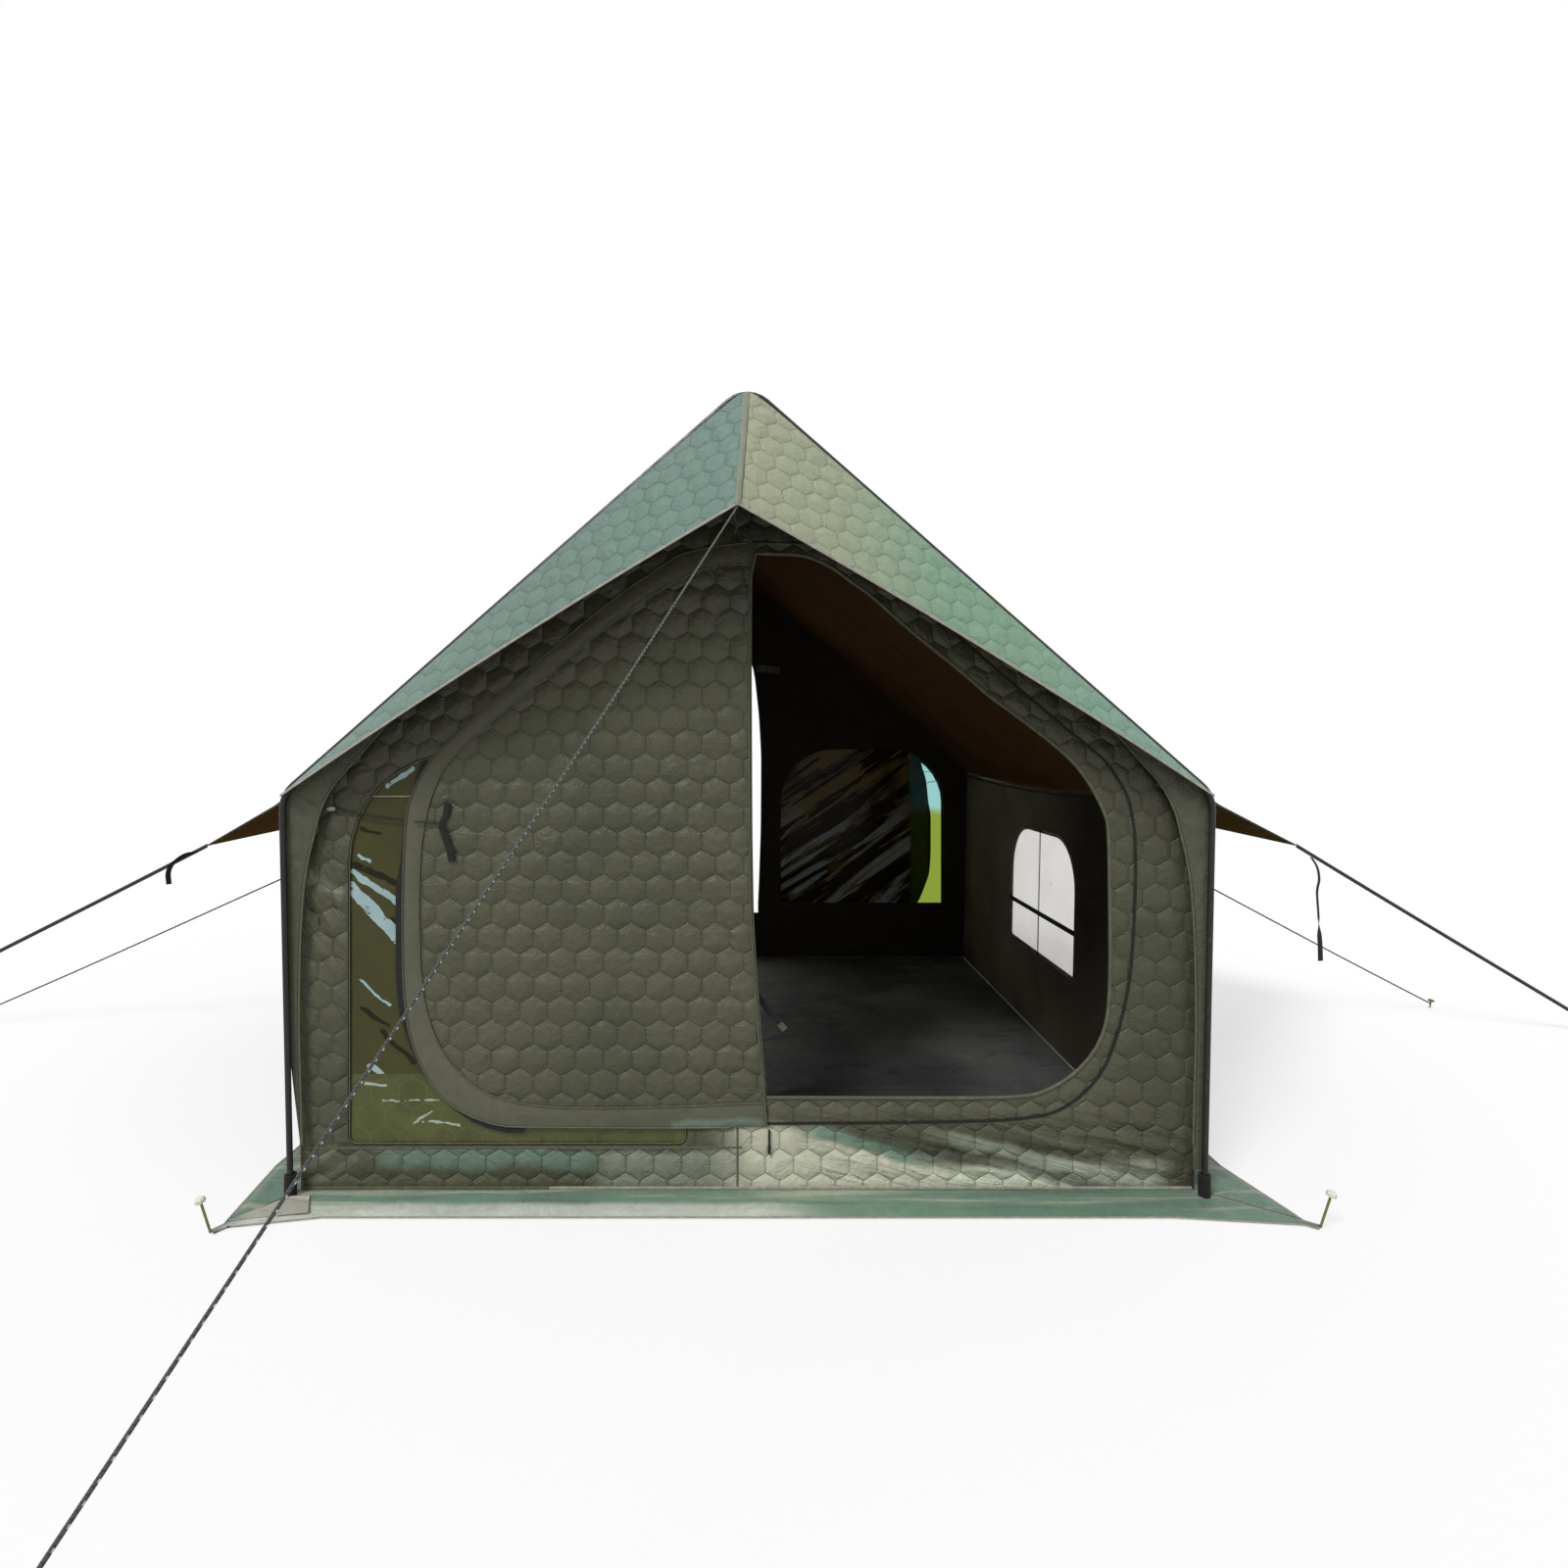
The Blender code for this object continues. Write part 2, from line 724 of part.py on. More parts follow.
def skirt_corner(tip, x, y):
    """The skirt's mitre from the wall's corner to its pegged tip, and the tab at the tip."""
    inner, tip = Vector((x, y)), Vector(tip)
    along = (tip - inner).normalized()
    to_front = Vector((-abs(along.y), -abs(along.x)))
    if along.x < 0:
        to_front.x = -to_front.x
    end = tip + along * TAB_LENGTH
    return inner, tip, [tip, end, end + to_front * TAB_WIDTH, tip + to_front * TAB_WIDTH], along


def skirt():
    inner_x = side_x(0) - CLOTH
    inner_y = END_INSIDE
    corners = {
        -1: skirt_corner(TIP_LEFT, -inner_x, inner_y),
        1: skirt_corner(TIP_RIGHT, inner_x, inner_y),
    }
    outer_y = END_FACE - SKIRT_FRONT
    left = [Vector((-inner_x + GAP, inner_y)), *[p + Vector((GAP, 0)) for p in corners[-1][2]]]
    right = [Vector((inner_x - GAP, inner_y)), *[p - Vector((GAP, 0)) for p in corners[1][2]]]
    edge = [(x * inner_x, outer_y) for x in (0.9, 0.3, -0.3, -0.9)]
    lying = Matrix.Translation((0, 0, SKIRT_CLOTH / 2))
    outline = [*right, *edge, *left[::-1]]
    opposite(plate("front_skirt", [outline], SKIRT_CLOTH, "skirt", lying), "rear_skirt")
    outer_x = inner_x + SKIRT_SIDE
    far_tip = -Vector(TIP_LEFT)
    near_tip = Vector(TIP_RIGHT)
    step = Vector((0, GAP))
    outline = [
        Vector((inner_x, inner_y)) + step,
        near_tip + step,
        (outer_x, inner_y * 0.9),
        (outer_x, -inner_y * 0.9),
        far_tip - step,
        Vector((inner_x, -inner_y)) - step,
    ]
    opposite(plate("right_skirt", [outline], SKIRT_CLOTH, "skirt", lying), "left_skirt")
    for side, here, there in ((-1, "left", "right"), (1, "right", "left")):
        tab, along = corners[side][2], corners[side][3]
        end = (tab[1] + tab[2]) / 2 + along * (PEG_R + SEWN - SKIRT_CLOTH * math.tan(PEG_LEAN))
        opposite(peg(f"front_{here}_peg", end, along, PEG_UP), f"rear_{there}_peg")


def groundsheet():
    x = side_x(0) - CLOTH - SEWN
    y = -END_INSIDE - SEWN
    outline = [(-x, -y), (x, -y), (x, y), (-x, y)]
    plate("groundsheet", [outline], FLOOR_CLOTH, "floor", Matrix.Translation((0, 0, FLOOR_CLOTH / 2)))


def peg(name, foot, away, up):
    """A peg that stands up out of the ground at foot, leaning away. Its point is drawn at ground level."""
    profile = [
        (0, up),
        (PEG_HEAD_R * 0.7, up),
        (PEG_HEAD_R, up - PEG_HEAD * 0.3),
        (PEG_HEAD_R, up - PEG_HEAD),
        (PEG_R, up - PEG_HEAD),
        (PEG_R, PEG_R),
        (0, 0),
    ]
    axis = Vector((-away[1], away[0], 0)).normalized()
    place = Matrix.Translation((foot[0], foot[1], 0)) @ Matrix.Rotation(PEG_LEAN, 4, axis)
    return turned(name, profile, 8, "peg", place)


# Guy lines


def guy(name, route, radius, finish):
    """A taut line, and the peg that holds its end."""
    add(name, tube_curve(name, smooth(route, ROUTE_STEPS), radius), finish)
    end, before = Vector(route[-1]), Vector(route[-2])
    away = Vector((end.x - before.x, end.y - before.y)).normalized()
    dip = math.asin((before.z - end.z) / (before - end).length)
    seat = PEG_R + GAP + radius * math.sin(dip)
    top = end.z + radius * math.cos(dip)
    foot = Vector((end.x, end.y)) + away * (seat - top * math.tan(PEG_LEAN))
    peg(name + "_peg", foot, away, GUY_PEG_UP)


for leftover in list(bpy.data.objects):
    bpy.data.objects.remove(leftover)
tent = new_collection("cabin_tent")
cutters = new_collection("cutters")

arch()
fly()
visor()
awning()
side_wall()
gusset()
for end, hinge_x in HINGES.items():
    made = [*end_wall(end, hinge_x), flap(end, hinge_x), *tie(end, hinge_x), zip_pull(end, hinge_x)]
    if end == "rear":
        for thing in made:
            turn_round(thing)
groundsheet()
skirt()
guy("front_guy_rope", FRONT_GUY, ROPE_R, "rope")
guy("left_strap", LEFT_STRAP, WEBBING_R, "webbing")
guy("right_strap", RIGHT_STRAP, WEBBING_R, "webbing")
guy("left_side_rope", LEFT_SIDE_ROPE, ROPE_R, "rope")
guy("right_side_rope", RIGHT_SIDE_ROPE, ROPE_R, "rope")
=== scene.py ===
"""Looks of the quilted cabin tent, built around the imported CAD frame.

Metres, +Z up, the front faces -Y. Each fabric piece is a mesh of its own that stands for a CAD solid.
A piece of the rear end is made as if it were at the front, and then turned half round the tent's middle.
"""

import math

import bpy
import numpy as np
from mathutils import Matrix, Vector, geometry, kdtree


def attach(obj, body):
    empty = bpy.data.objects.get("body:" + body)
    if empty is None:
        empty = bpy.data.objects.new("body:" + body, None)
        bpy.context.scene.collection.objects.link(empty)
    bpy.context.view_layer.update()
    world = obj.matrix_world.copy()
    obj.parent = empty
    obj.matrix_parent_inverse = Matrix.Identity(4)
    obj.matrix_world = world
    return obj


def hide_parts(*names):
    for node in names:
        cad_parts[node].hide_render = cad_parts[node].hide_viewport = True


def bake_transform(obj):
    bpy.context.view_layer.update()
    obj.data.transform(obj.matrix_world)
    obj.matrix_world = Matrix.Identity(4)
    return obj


# Camera
IMAGE = 1600
FOCAL_PX = 795.6
CAMERA_AT = (0.033, -3.38, 1.2236)
VANISHING_PX = (775, 765)
SENSOR = 36.0

# Sizes of the CAD model
HALF = 1.25
FOOT_X = 1.248
EAVE_X = 1.272
EAVE_Z = 1.10
APEX_Z = 2.22
POLE_R = 0.008
SEWN = 0.0005
FLY_DROP = 0.010
RIDGE_ROUND = 0.022
RIDGE_SAG = 0.020
EAVE_SAG = 0.035
POLE_ROUND = 0.025
VISOR_REACH = 0.25
VISOR_TIP_X = -0.020
VISOR_TIP_Z = 1.814
VISOR_END = 1.262
VISOR_CORNER = 0.012
VISOR_SLOPE = 0.566
AWNING_TIP_X = 2.36
AWNING_TIP_Z = 0.81
AWNING_CORNER = 0.012
END_FACE = -1.22
SIDE_FACE = 1.2405
WALL_FOOT = 0.0045
FLAP_Y = -1.2245
HINGES = {"front": 0.035, "rear": -0.035}
SLOPE = (APEX_Z - EAVE_Z) / EAVE_X
RAFTER = math.hypot(1, SLOPE)
LEG_LEAN = (EAVE_X - FOOT_X) / EAVE_Z

# Quilting: hexagons, flat to flat, and how far they stand out
PITCH = 0.0775
VISOR_PITCH = 0.067
PUFF = 0.0035
FLAP_PUFF = 0.005
THIN = 0.0025

# Door, (x from the hinge line, z)
OPENING_EDGE = [
    (0.020, 1.767), (0.100, 1.764), (0.148, 1.753), (0.200, 1.728), (0.252, 1.690), (0.306, 1.652),
    (0.391, 1.577), (0.456, 1.522), (0.565, 1.434), (0.636, 1.372), (0.705, 1.322), (0.805, 1.245),
    (0.865, 1.191), (0.906, 1.139), (0.932, 1.095), (0.953, 1.050), (0.965, 1.000), (0.969, 0.828),
    (0.969, 0.560), (0.949, 0.433), (0.888, 0.342), (0.797, 0.281), (0.690, 0.260), (0.350, 0.258),
]  # fmt: skip
ZIP_LINE = [
    (-0.020, 1.800), (0.148, 1.795), (0.220, 1.778), (0.330, 1.706), (0.420, 1.640), (0.509, 1.573),
    (0.565, 1.524), (0.628, 1.468), (0.729, 1.382), (0.830, 1.297), (0.906, 1.235), (0.957, 1.191),
    (0.991, 1.144), (1.018, 1.095), (1.032, 1.038), (1.040, 0.964), (1.040, 0.828), (1.030, 0.640),
    (1.012, 0.520), (0.985, 0.420), (0.940, 0.320), (0.850, 0.236), (0.740, 0.203), (0.500, 0.192),
    (0.012, 0.187),
]  # fmt: skip
FLAP_EDGE = [
    (-0.002, 1.797), (-0.097, 1.790), (-0.205, 1.768), (-0.259, 1.741), (-0.313, 1.703), (-0.367, 1.668),
    (-0.476, 1.584), (-0.584, 1.494), (-0.692, 1.400), (-0.801, 1.299), (-0.855, 1.251), (-0.909, 1.197),
    (-0.936, 1.156), (-0.960, 1.107), (-0.975, 1.061), (-0.981, 1.010), (-0.985, 0.939), (-0.988, 0.857),
    (-0.989, 0.750), (-0.985, 0.547), (-0.958, 0.398), (-0.882, 0.263), (-0.746, 0.190), (-0.586, 0.180),
    (-0.235, 0.178), (-0.080, 0.180),
]  # fmt: skip
BAND_EDGE = [
    (-0.030, 1.733), (-0.097, 1.735), (-0.205, 1.703), (-0.340, 1.624), (-0.476, 1.521), (-0.611, 1.408),
    (-0.746, 1.297), (-0.828, 1.224), (-0.880, 1.160), (-0.913, 1.080), (-0.930, 1.000), (-0.938, 0.939),
    (-0.943, 0.777), (-0.931, 0.547), (-0.882, 0.398), (-0.801, 0.303), (-0.706, 0.257), (-0.543, 0.235),
    (-0.235, 0.238), (-0.016, 0.248),
]  # fmt: skip

# How far the hinge edge bows away from the doorway at heights z, and its share at each end
BOW_Z = [0.178, 0.28, 0.42, 0.75, 1.00, 1.45, 1.70, 1.80]
BOW_X = [-0.018, -0.010, 0.004, 0.026, 0.030, 0.032, 0.031, 0.010]
BOW_SHARE = {"front": 1.0, "rear": 0.5}
STRIP = 0.004

# How far the rear doorway's head rounds inwards from the hinge line at heights z
HEAD_Z = [1.20, 1.42, 1.64, 1.72, 1.767]
HEAD_X = [0.0, 0.013, 0.036, 0.050, 0.063]

# Windows
WINDOW_INNER = -0.172
WINDOW_OUTER = -1.104
WINDOW_FOOT = 0.132
WINDOW_TOP = 1.212
POCKET_TOP = 0.323
PANE_HALF = 0.37
PANE_FOOT = 0.34
PANE_TOP = 0.865
BAR_Z = 0.515

# Gusset's free hem, (x, z) at the right
GUSSET_HEM = [
    (0.860, 1.420), (0.945, 1.340), (1.010, 1.270), (1.080, 1.190), (1.125, 1.140), (1.154, 1.095),
    (1.176, 1.045), (1.192, 0.980), (1.206, 0.920), (1.219, 0.830), (1.228, 0.680), (1.231, 0.480),
    (1.227, 0.300), (1.223, 0.140),
]  # fmt: skip

# Skirt
SKIRT_Z = 0.0026
LAP_LIFT = 0.009
SKIRT_FRONT = 0.125
SKIRT_SIDE = 0.150
TIP_LEFT = (-1.345, -1.375)
TIP_RIGHT = (1.445, -1.360)
TAB_LENGTH = 0.030
TAB_WIDTH = 0.020
LAP = [(-1.335, -1.368), (-1.152, -1.334), (-1.192, -1.256), (-1.240, -1.262)]

# Details of the cloth pieces
FOOT_SEAM_Z = 0.118
SEAM = (0.0016, 0.006)
SIDE_END = HALF - 0.0304
FILM_RIM = 0.013
VISOR_DROP = 0.004
VISOR_ARCH = 0.018
FLOOR_HALF = (1.2315, 1.2125)
BACK_STEP = 4
EDGE_FADE = 0.02
SHARP_FROM = 50

# How far the hinge edge reaches on the wall, and the width of the part of the flap beside it
BOW_REACH = 0.034
BEND = 0.045

# How far the tape stands out from the flap's edge at heights z
TAPE_Z = [0.18, 0.24, 0.42, 0.50, 0.84, 0.92, 1.10, 1.19]
TAPE_REACH = [0.002, 0.016, 0.012, 0.0, 0.0, 0.012, 0.020, 0.0]

# A tab on the front wall, (x from the hinge line, y from the wall, z)
FRONT_TAB = [(-0.020, 0.012, 0.560), (0.012, 0.026, 0.505), (0.055, 0.040, 0.450), (0.070, 0.042, 0.432)]

# The tie's strap around its knot, and the loose ends of the awning straps, (x, z)
TIE_STRAP = [
    (0.012, 0.0005, 0.058), (0.006, 0.0, 0.022), (-0.006, -0.0015, 0.0), (0.002, 0.0, -0.030),
    (0.016, 0.0, -0.070), (0.024, 0.0005, -0.105),
]  # fmt: skip
RIGHT_TAIL = [
    (2.425, 0.757), (2.450, 0.715), (2.459, 0.663), (2.450, 0.608), (2.455, 0.523), (2.459, 0.438),
    (2.463, 0.380), (2.465, 0.308),
]  # fmt: skip
LEFT_TAIL = [(-2.400, 0.785), (-2.455, 0.772), (-2.510, 0.730), (-2.530, 0.690), (-2.527, 0.640)]

# Looks
FOLD_SLANT = 0.233
OLIVE, OLIVE_SHADE = (0.086, 0.087, 0.047), (0.061, 0.063, 0.035)
DULL = (0.8, 0.95)
THREADS = 0.0011
FLECKS = 0.0125
PEG_HEAD_Z = 0.088
NODE_LOOKS = (
    ("elbow", "pole"), ("rafter", "pole"), ("leg", "pole"), ("boot", "boot"), ("peg", "peg"),
    ("left_peg", "corner_peg"), ("right_peg", "corner_peg"), ("pull", "binding"),
)  # fmt: skip

# Suns: name, strength, width in degrees, turn from the front and height in degrees
SUNS = (("key", 2.20, 20, -38, 50), ("fill", 0.36, 60, 50, 25), ("top", 0.30, 80, 180, 80))

# Cord routes, from the tent to the peg
FRONT_GUY = [
    (-0.0200, -1.5000, 1.8112), (-0.1950, -2.0220, 1.3540), (-0.3700, -2.5400, 0.9060),
    (-0.5450, -3.0580, 0.4620), (-0.7200, -3.5750, 0.0220),
]  # fmt: skip
LEFT_STRAP = [
    (-2.3604, 0.0, 0.8079), (-2.7550, 0.0, 0.6060), (-3.1470, 0.0, 0.4080), (-3.5380, 0.0, 0.2120),
    (-3.9250, 0.0, 0.0220),
]  # fmt: skip
RIGHT_STRAP = [
    (2.3604, 0.0, 0.8075), (2.6900, 0.0, 0.6070), (3.0150, 0.0, 0.4110), (3.3400, 0.0, 0.2160),
    (3.6640, 0.0, 0.0220),
]  # fmt: skip
LEFT_SIDE_ROPE = [
    (-1.2645, 0.000, 1.0200), (-1.8300, 0.054, 0.7650), (-2.3970, 0.108, 0.5140), (-2.9640, 0.161, 0.2650),
    (-3.5300, 0.215, 0.0220),
]  # fmt: skip
RIGHT_SIDE_ROPE = [
    (1.2645, 0.000, 1.0200), (1.7500, 0.079, 0.7650), (2.2370, 0.158, 0.5140), (2.7240, 0.236, 0.2650),
    (3.2100, 0.315, 0.0220),
]  # fmt: skip
ROPE_R = 0.002
SIDE_ROPE_R = 0.003
STRAP_WIDTH = 0.020
STRAP_CLOTH = 0.0016
ROUTE_STEPS = 6

# Directions
INWARD = (0, -1, 0)
OUTWARD = (1, 0, 0)

# Outlines and curves


def smooth(points, steps):
    """Points on one smooth curve through given points."""
    path = [Vector(p) for p in points]
    path = [2 * path[0] - path[1], *path, 2 * path[-1] - path[-2]]
    line = []
    for a, b, c, d in zip(path, path[1:], path[2:], path[3:]):
        for step in range(steps):
            t = step / steps
            first = 2 * b + (c - a) * t + (2 * a - 5 * b + 4 * c - d) * t**2
            line.append(0.5 * (first + (3 * b - a - 3 * c + d) * t**3))
    return np.array([*line, path[-2]])


def rounded(corners, steps=8):
    """An outline through corners (x, y, reach), each one rounded by an arc that starts at that reach."""
    outline = []
    for i, (x, y, reach) in enumerate(corners):
        here = Vector((x, y))
        before = (Vector(corners[i - 1][:2]) - here).normalized()
        after = (Vector(corners[(i + 1) % len(corners)][:2]) - here).normalized()
        half_angle = before.angle(after) / 2
        centre = here + (before + after).normalized() * (reach / math.cos(half_angle))
        start = here + before * reach - centre
        turn = start.angle_signed(here + after * reach - centre)
        outline += [centre + Matrix.Rotation(-turn * step / steps, 2) @ start for step in range(steps + 1)]
    return np.array(outline)


def divided(points, spacing, closed=True):
    """The same line with points no further apart than a spacing."""
    points = np.asarray(points, float)
    ends = np.roll(points, -1, 0) if closed else points[1:]
    line = []
    for a, b in zip(points, ends):
        count = max(1, math.ceil(np.linalg.norm(b - a) / spacing))
        line += [a + (b - a) * i / count for i in range(count)]
    if not closed:
        line.append(points[-1])
    return np.array(line)


def inside(points, outline):
    """Which points lie inside a closed outline."""
    found = np.zeros(len(points), bool)
    x, y = points.T
    for (ax, ay), (bx, by) in zip(outline, np.roll(outline, -1, 0)):
        if ay != by:
            found ^= ((ay > y) != (by > y)) & (x < ax + (y - ay) * (bx - ax) / (by - ay))
    return found


def distance(points, lines):
    """How far each point is from the nearest of some lines."""
    marks = np.vstack([divided(line, 0.002, closed=False) for line in lines])
    tree = kdtree.KDTree(len(marks))
    for i, (x, y) in enumerate(marks):
        tree.insert((x, y, 0), i)
    tree.balance()
    return np.array([tree.find((x, y, 0))[2] for x, y in points])


def soft_step(value):
    value = np.clip(value, 0, 1)
    return value * value * (3 - 2 * value)


def waves(points, seed, length):
    """A smooth random height from -1 to 1 that rolls over a length."""
    random = np.random.default_rng(seed)
    total = np.zeros(len(points))
    for _ in range(9):
        turn, phase = random.uniform(0, 2 * math.pi, 2)
        turns = 2 * math.pi / length * random.uniform(0.6, 1.7)
        total += np.cos(turns * (points @ (math.cos(turn), math.sin(turn))) + phase)
    return total / 5


def closed(line):
    return np.vstack([line, line[:1]])


# Parts of a mesh, as (points, faces, cloth coordinates, material numbers)


class Weave:
    """Where a panel's quilting starts and how it is turned: panel point = origin + axes @ quilt point."""

    def __init__(self, origin=(0, 0), axes=((1, 0), (0, 1)), pitch=PITCH):
        self.origin, self.axes, self.pitch = np.array(origin, float), np.array(axes, float), pitch

    def to_panel(self, points):
        return self.origin + points @ self.axes.T

    def to_quilt(self, points):
        return (points - self.origin) @ np.linalg.inv(self.axes).T

    def seam(self, points):
        """0 in the middle of a hexagon and 1 on its seams, for quilt points."""
        size = self.pitch * np.array((1, math.sqrt(3)))
        one = points - size * np.round(points / size)
        two = points + size / 2 - size * np.round(points / size + 0.5)
        near = np.abs(np.where(((one**2).sum(1) < (two**2).sum(1))[:, None], one, two))
        return np.maximum(near[:, 0], near @ (0.5, math.sqrt(0.75))) / (self.pitch / 2)

    def net(self, outline, step):
        """The quilting's own triangular net of points around an outline: 8 columns to a hexagon at step 1."""
        across, up = self.pitch / 8 * step, self.pitch / math.sqrt(3) / 4 * step
        margin = 2 * max(across, up)
        low, high = outline.min(0) - margin, outline.max(0) + margin
        corners = self.to_quilt(np.array([low, (low[0], high[1]), high, (high[0], low[1])]))
        (low_x, low_y), (high_x, high_y) = corners.min(0), corners.max(0)
        column, row = np.meshgrid(
            np.arange(math.floor(low_x / across), math.ceil(high_x / across) + 1),
            np.arange(math.floor(low_y / up), math.ceil(high_y / up) + 1),
        )
        points = np.stack([(column * across).ravel(), ((row + column % 2 / 2) * up).ravel()], 1)
        points = self.to_panel(points)
        return points[((points > low) & (points < high)).all(1)]


def triangles(rings, corners, lines, net, spacing):
    """Triangles over the area in the first ring and outside the others. Returns points and faces."""
    net = net[distance(net, [*map(closed, rings), *lines]) > 0.45 * spacing]
    points, edges = [], []
    for ring in rings:
        edges += [(len(points) + i, len(points) + (i + 1) % len(ring)) for i in range(len(ring))]
        points += list(ring)
    fixed = len(points)
    for line in lines:
        edges += [(len(points) + i, len(points) + i + 1) for i in range(len(line) - 1)]
        points += list(line)
    points += list(net)
    verts, _, faces, *_ = geometry.delaunay_2d_cdt([Vector(p) for p in points], edges, [], 0, 1e-6)
    verts, faces = np.array(verts), np.array([f for f in faces if len(f) == 3])
    middle = verts[faces].mean(1)
    keep = inside(middle, corners[0])
    for hole in corners[1:]:
        keep &= ~inside(middle, hole)
    faces = faces[keep]
    used = np.zeros(len(verts), bool)
    used[:fixed] = True
    used[faces] = True
    order = np.cumsum(used) - 1
    return verts[used], order[faces]


def panel(
    rings, place, puff=0.0, lines=(), weave=None, thick=THIN, bump=None, slot=0, backing=1, band=None, step=1
):
    """A flat sheet, quilted in front and plain behind, that place(points, out) puts in space."""
    weave = weave or Weave()
    spacing = weave.pitch / 8 * step
    corners, rings = rings, [divided(ring, spacing) for ring in rings]
    lines = [divided(line, spacing, closed=False) for line in lines]
    front, faces = triangles(rings, corners, lines, weave.net(rings[0], step), spacing)
    back, back_faces = triangles(rings, corners, [], weave.net(rings[0], BACK_STEP), spacing)
    quilt = weave.to_quilt(front)
    clear = distance(front, [*map(closed, rings), *lines])
    out = puff * (1 - weave.seam(quilt) ** 3) * soft_step(clear / EDGE_FADE)
    if bump is not None:
        out = out + bump(front, clear)
    start = len(front)
    points = np.vstack([place(front, out), place(back, np.full(len(back), -thick))])
    rim, total = [], 0
    for ring in rings:
        order = range(total, total + len(ring))
        rim += [(a, b, b + start, a + start) for a, b in zip(order, [*order[1:], total])]
        total += len(ring)
    slots = [slot] * len(faces) if band is None else list(band(front[faces].mean(1)).astype(int))
    every = [*map(tuple, faces), *[(start + c, start + b, start + a) for a, b, c in back_faces], *rim]
    slots += [backing] * len(back_faces) + [slot] * len(rim)
    return points, every, np.vstack([quilt, weave.to_quilt(back)]), slots


def sweep(path, section, across, slot=0, loop=False):
    """A strip or cord: a closed section (across, up) carried along a path, turned towards a direction."""
    path = np.asarray(path, float)
    along = np.roll(path, -1, 0) - np.roll(path, 1, 0) if loop else np.gradient(path, axis=0)
    along /= np.linalg.norm(along, axis=1)[:, None]
    across = np.broadcast_to(np.asarray(across, float), path.shape)
    side = across - (across * along).sum(1)[:, None] * along
    side /= np.linalg.norm(side, axis=1)[:, None]
    up = np.cross(along, side)
    section = np.asarray(section, float)
    scale = section if section.ndim == 3 else np.broadcast_to(section, (len(path), *section.shape))
    rings = path[:, None] + scale[..., :1] * side[:, None] + scale[..., 1:] * up[:, None]
    count, sides = rings.shape[:2]
    faces = [
        (i * sides + j, i * sides + (j + 1) % sides, k * sides + (j + 1) % sides, k * sides + j)
        for i, k in zip(range(count), [*range(1, count), 0])
        if loop or k
        for j in range(sides)
    ]
    if not loop:
        faces += [tuple(range(sides))[::-1], tuple((count - 1) * sides + j for j in range(sides))]
    length = np.concatenate([[0], np.cumsum(np.linalg.norm(np.diff(path, axis=0), axis=1))])
    cloth = np.stack([np.repeat(length, sides), scale[..., 0].ravel()], 1)
    return rings.reshape(-1, 3), faces, cloth, [slot] * len(faces)


def round_section(radius, sides=8):
    turns = np.arange(sides) * 2 * math.pi / sides
    return radius * np.stack([np.cos(turns), np.sin(turns)], 1)


def flat_section(width, thick):
    """A flat strip with softened edges, seen end on, counter-clockwise."""
    half, up = width / 2, thick / 2
    soft = min(thick * 0.4, half / 2)
    return np.array([
        (half, -up / 3), (half, up / 3), (half - soft, up), (0, up), (soft - half, up),
        (-half, up / 3), (-half, -up / 3), (soft - half, -up), (0, -up), (half - soft, -up),
    ])  # fmt: skip


# Objects


def link(obj):
    bpy.context.scene.collection.objects.link(obj)
    return obj


def build(name, parts, looks, turned=False):
    """One object out of mesh parts and the looks that its faces number, turned half round at the rear."""
    verts, faces, cloth, slots, start = [], [], [], [], 0
    for points, some, coordinates, numbers in parts:
        verts.append(points * (-1, -1, 1) if turned else points)
        cloth.append(coordinates)
        faces += [tuple(int(i) + start for i in face) for face in some]
        slots += numbers
        start += len(points)
    verts, cloth = np.vstack(verts), np.vstack(cloth)
    mesh = bpy.data.meshes.new(name)
    mesh.from_pydata(verts.tolist(), [], faces)
    for look in looks.split():
        mesh.materials.append(finishes[look])
    mesh.polygons.foreach_set("material_index", slots)
    corners = np.zeros(len(mesh.loops), np.int32)
    mesh.loops.foreach_get("vertex_index", corners)
    mesh.shade_smooth()
    mesh.set_sharp_from_angle(angle=math.radians(SHARP_FROM))
    x, z = verts[:, 0], verts[:, 2]
    tone = np.stack([-x if name.startswith("rear") else x, z], 1)
    for layer, values in (("cloth", cloth), ("tone", tone)):
        mesh.uv_layers.new(name=layer).data.foreach_set("uv", values[corners].astype(np.float32).ravel())
    return link(bpy.data.objects.new(name, mesh))


def rides(obj, body, nodes=()):
    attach(obj, body)
    if nodes:
        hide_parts(*nodes)


def hang(obj, end, hinge_x, node):
    """Bakes the piece into place and hides the CAD node that it stands for. Two points beside the hinge edge
    are worked out but not used.
    """
    side = -1 if end == "rear" else 1
    start, stop = (((hinge_x - reach) * side, FLAP_Y * side, 1.0) for reach in (BOW_REACH, BOW_REACH + BEND))
    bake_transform(obj)
    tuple(start)
    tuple(stop)
    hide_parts(node)


def fabric(name, parts, looks, turned=False, node=None):
    """A sheet that rides the tent and stands for a CAD node, its own name without the last word."""
    made = build(name, parts, looks, turned)
    rides(made, "tent", [node or name.rsplit("_", 1)[0]])


# Materials


class Field:
    """A number, colour or vector that a node tree works out at each point."""

    def __init__(self, wiring, socket):
        self.wiring, self.socket = wiring, socket

    def __add__(self, other):
        return self.wiring.math("ADD", self, other)

    def __sub__(self, other):
        return self.wiring.math("SUBTRACT", self, other)

    def __rsub__(self, other):
        return self.wiring.math("SUBTRACT", other, self)

    def __mul__(self, other):
        return self.wiring.math("MULTIPLY", self, other)

    def __getitem__(self, axis):
        return self.wiring.field("ShaderNodeSeparateXYZ", self, output=axis)


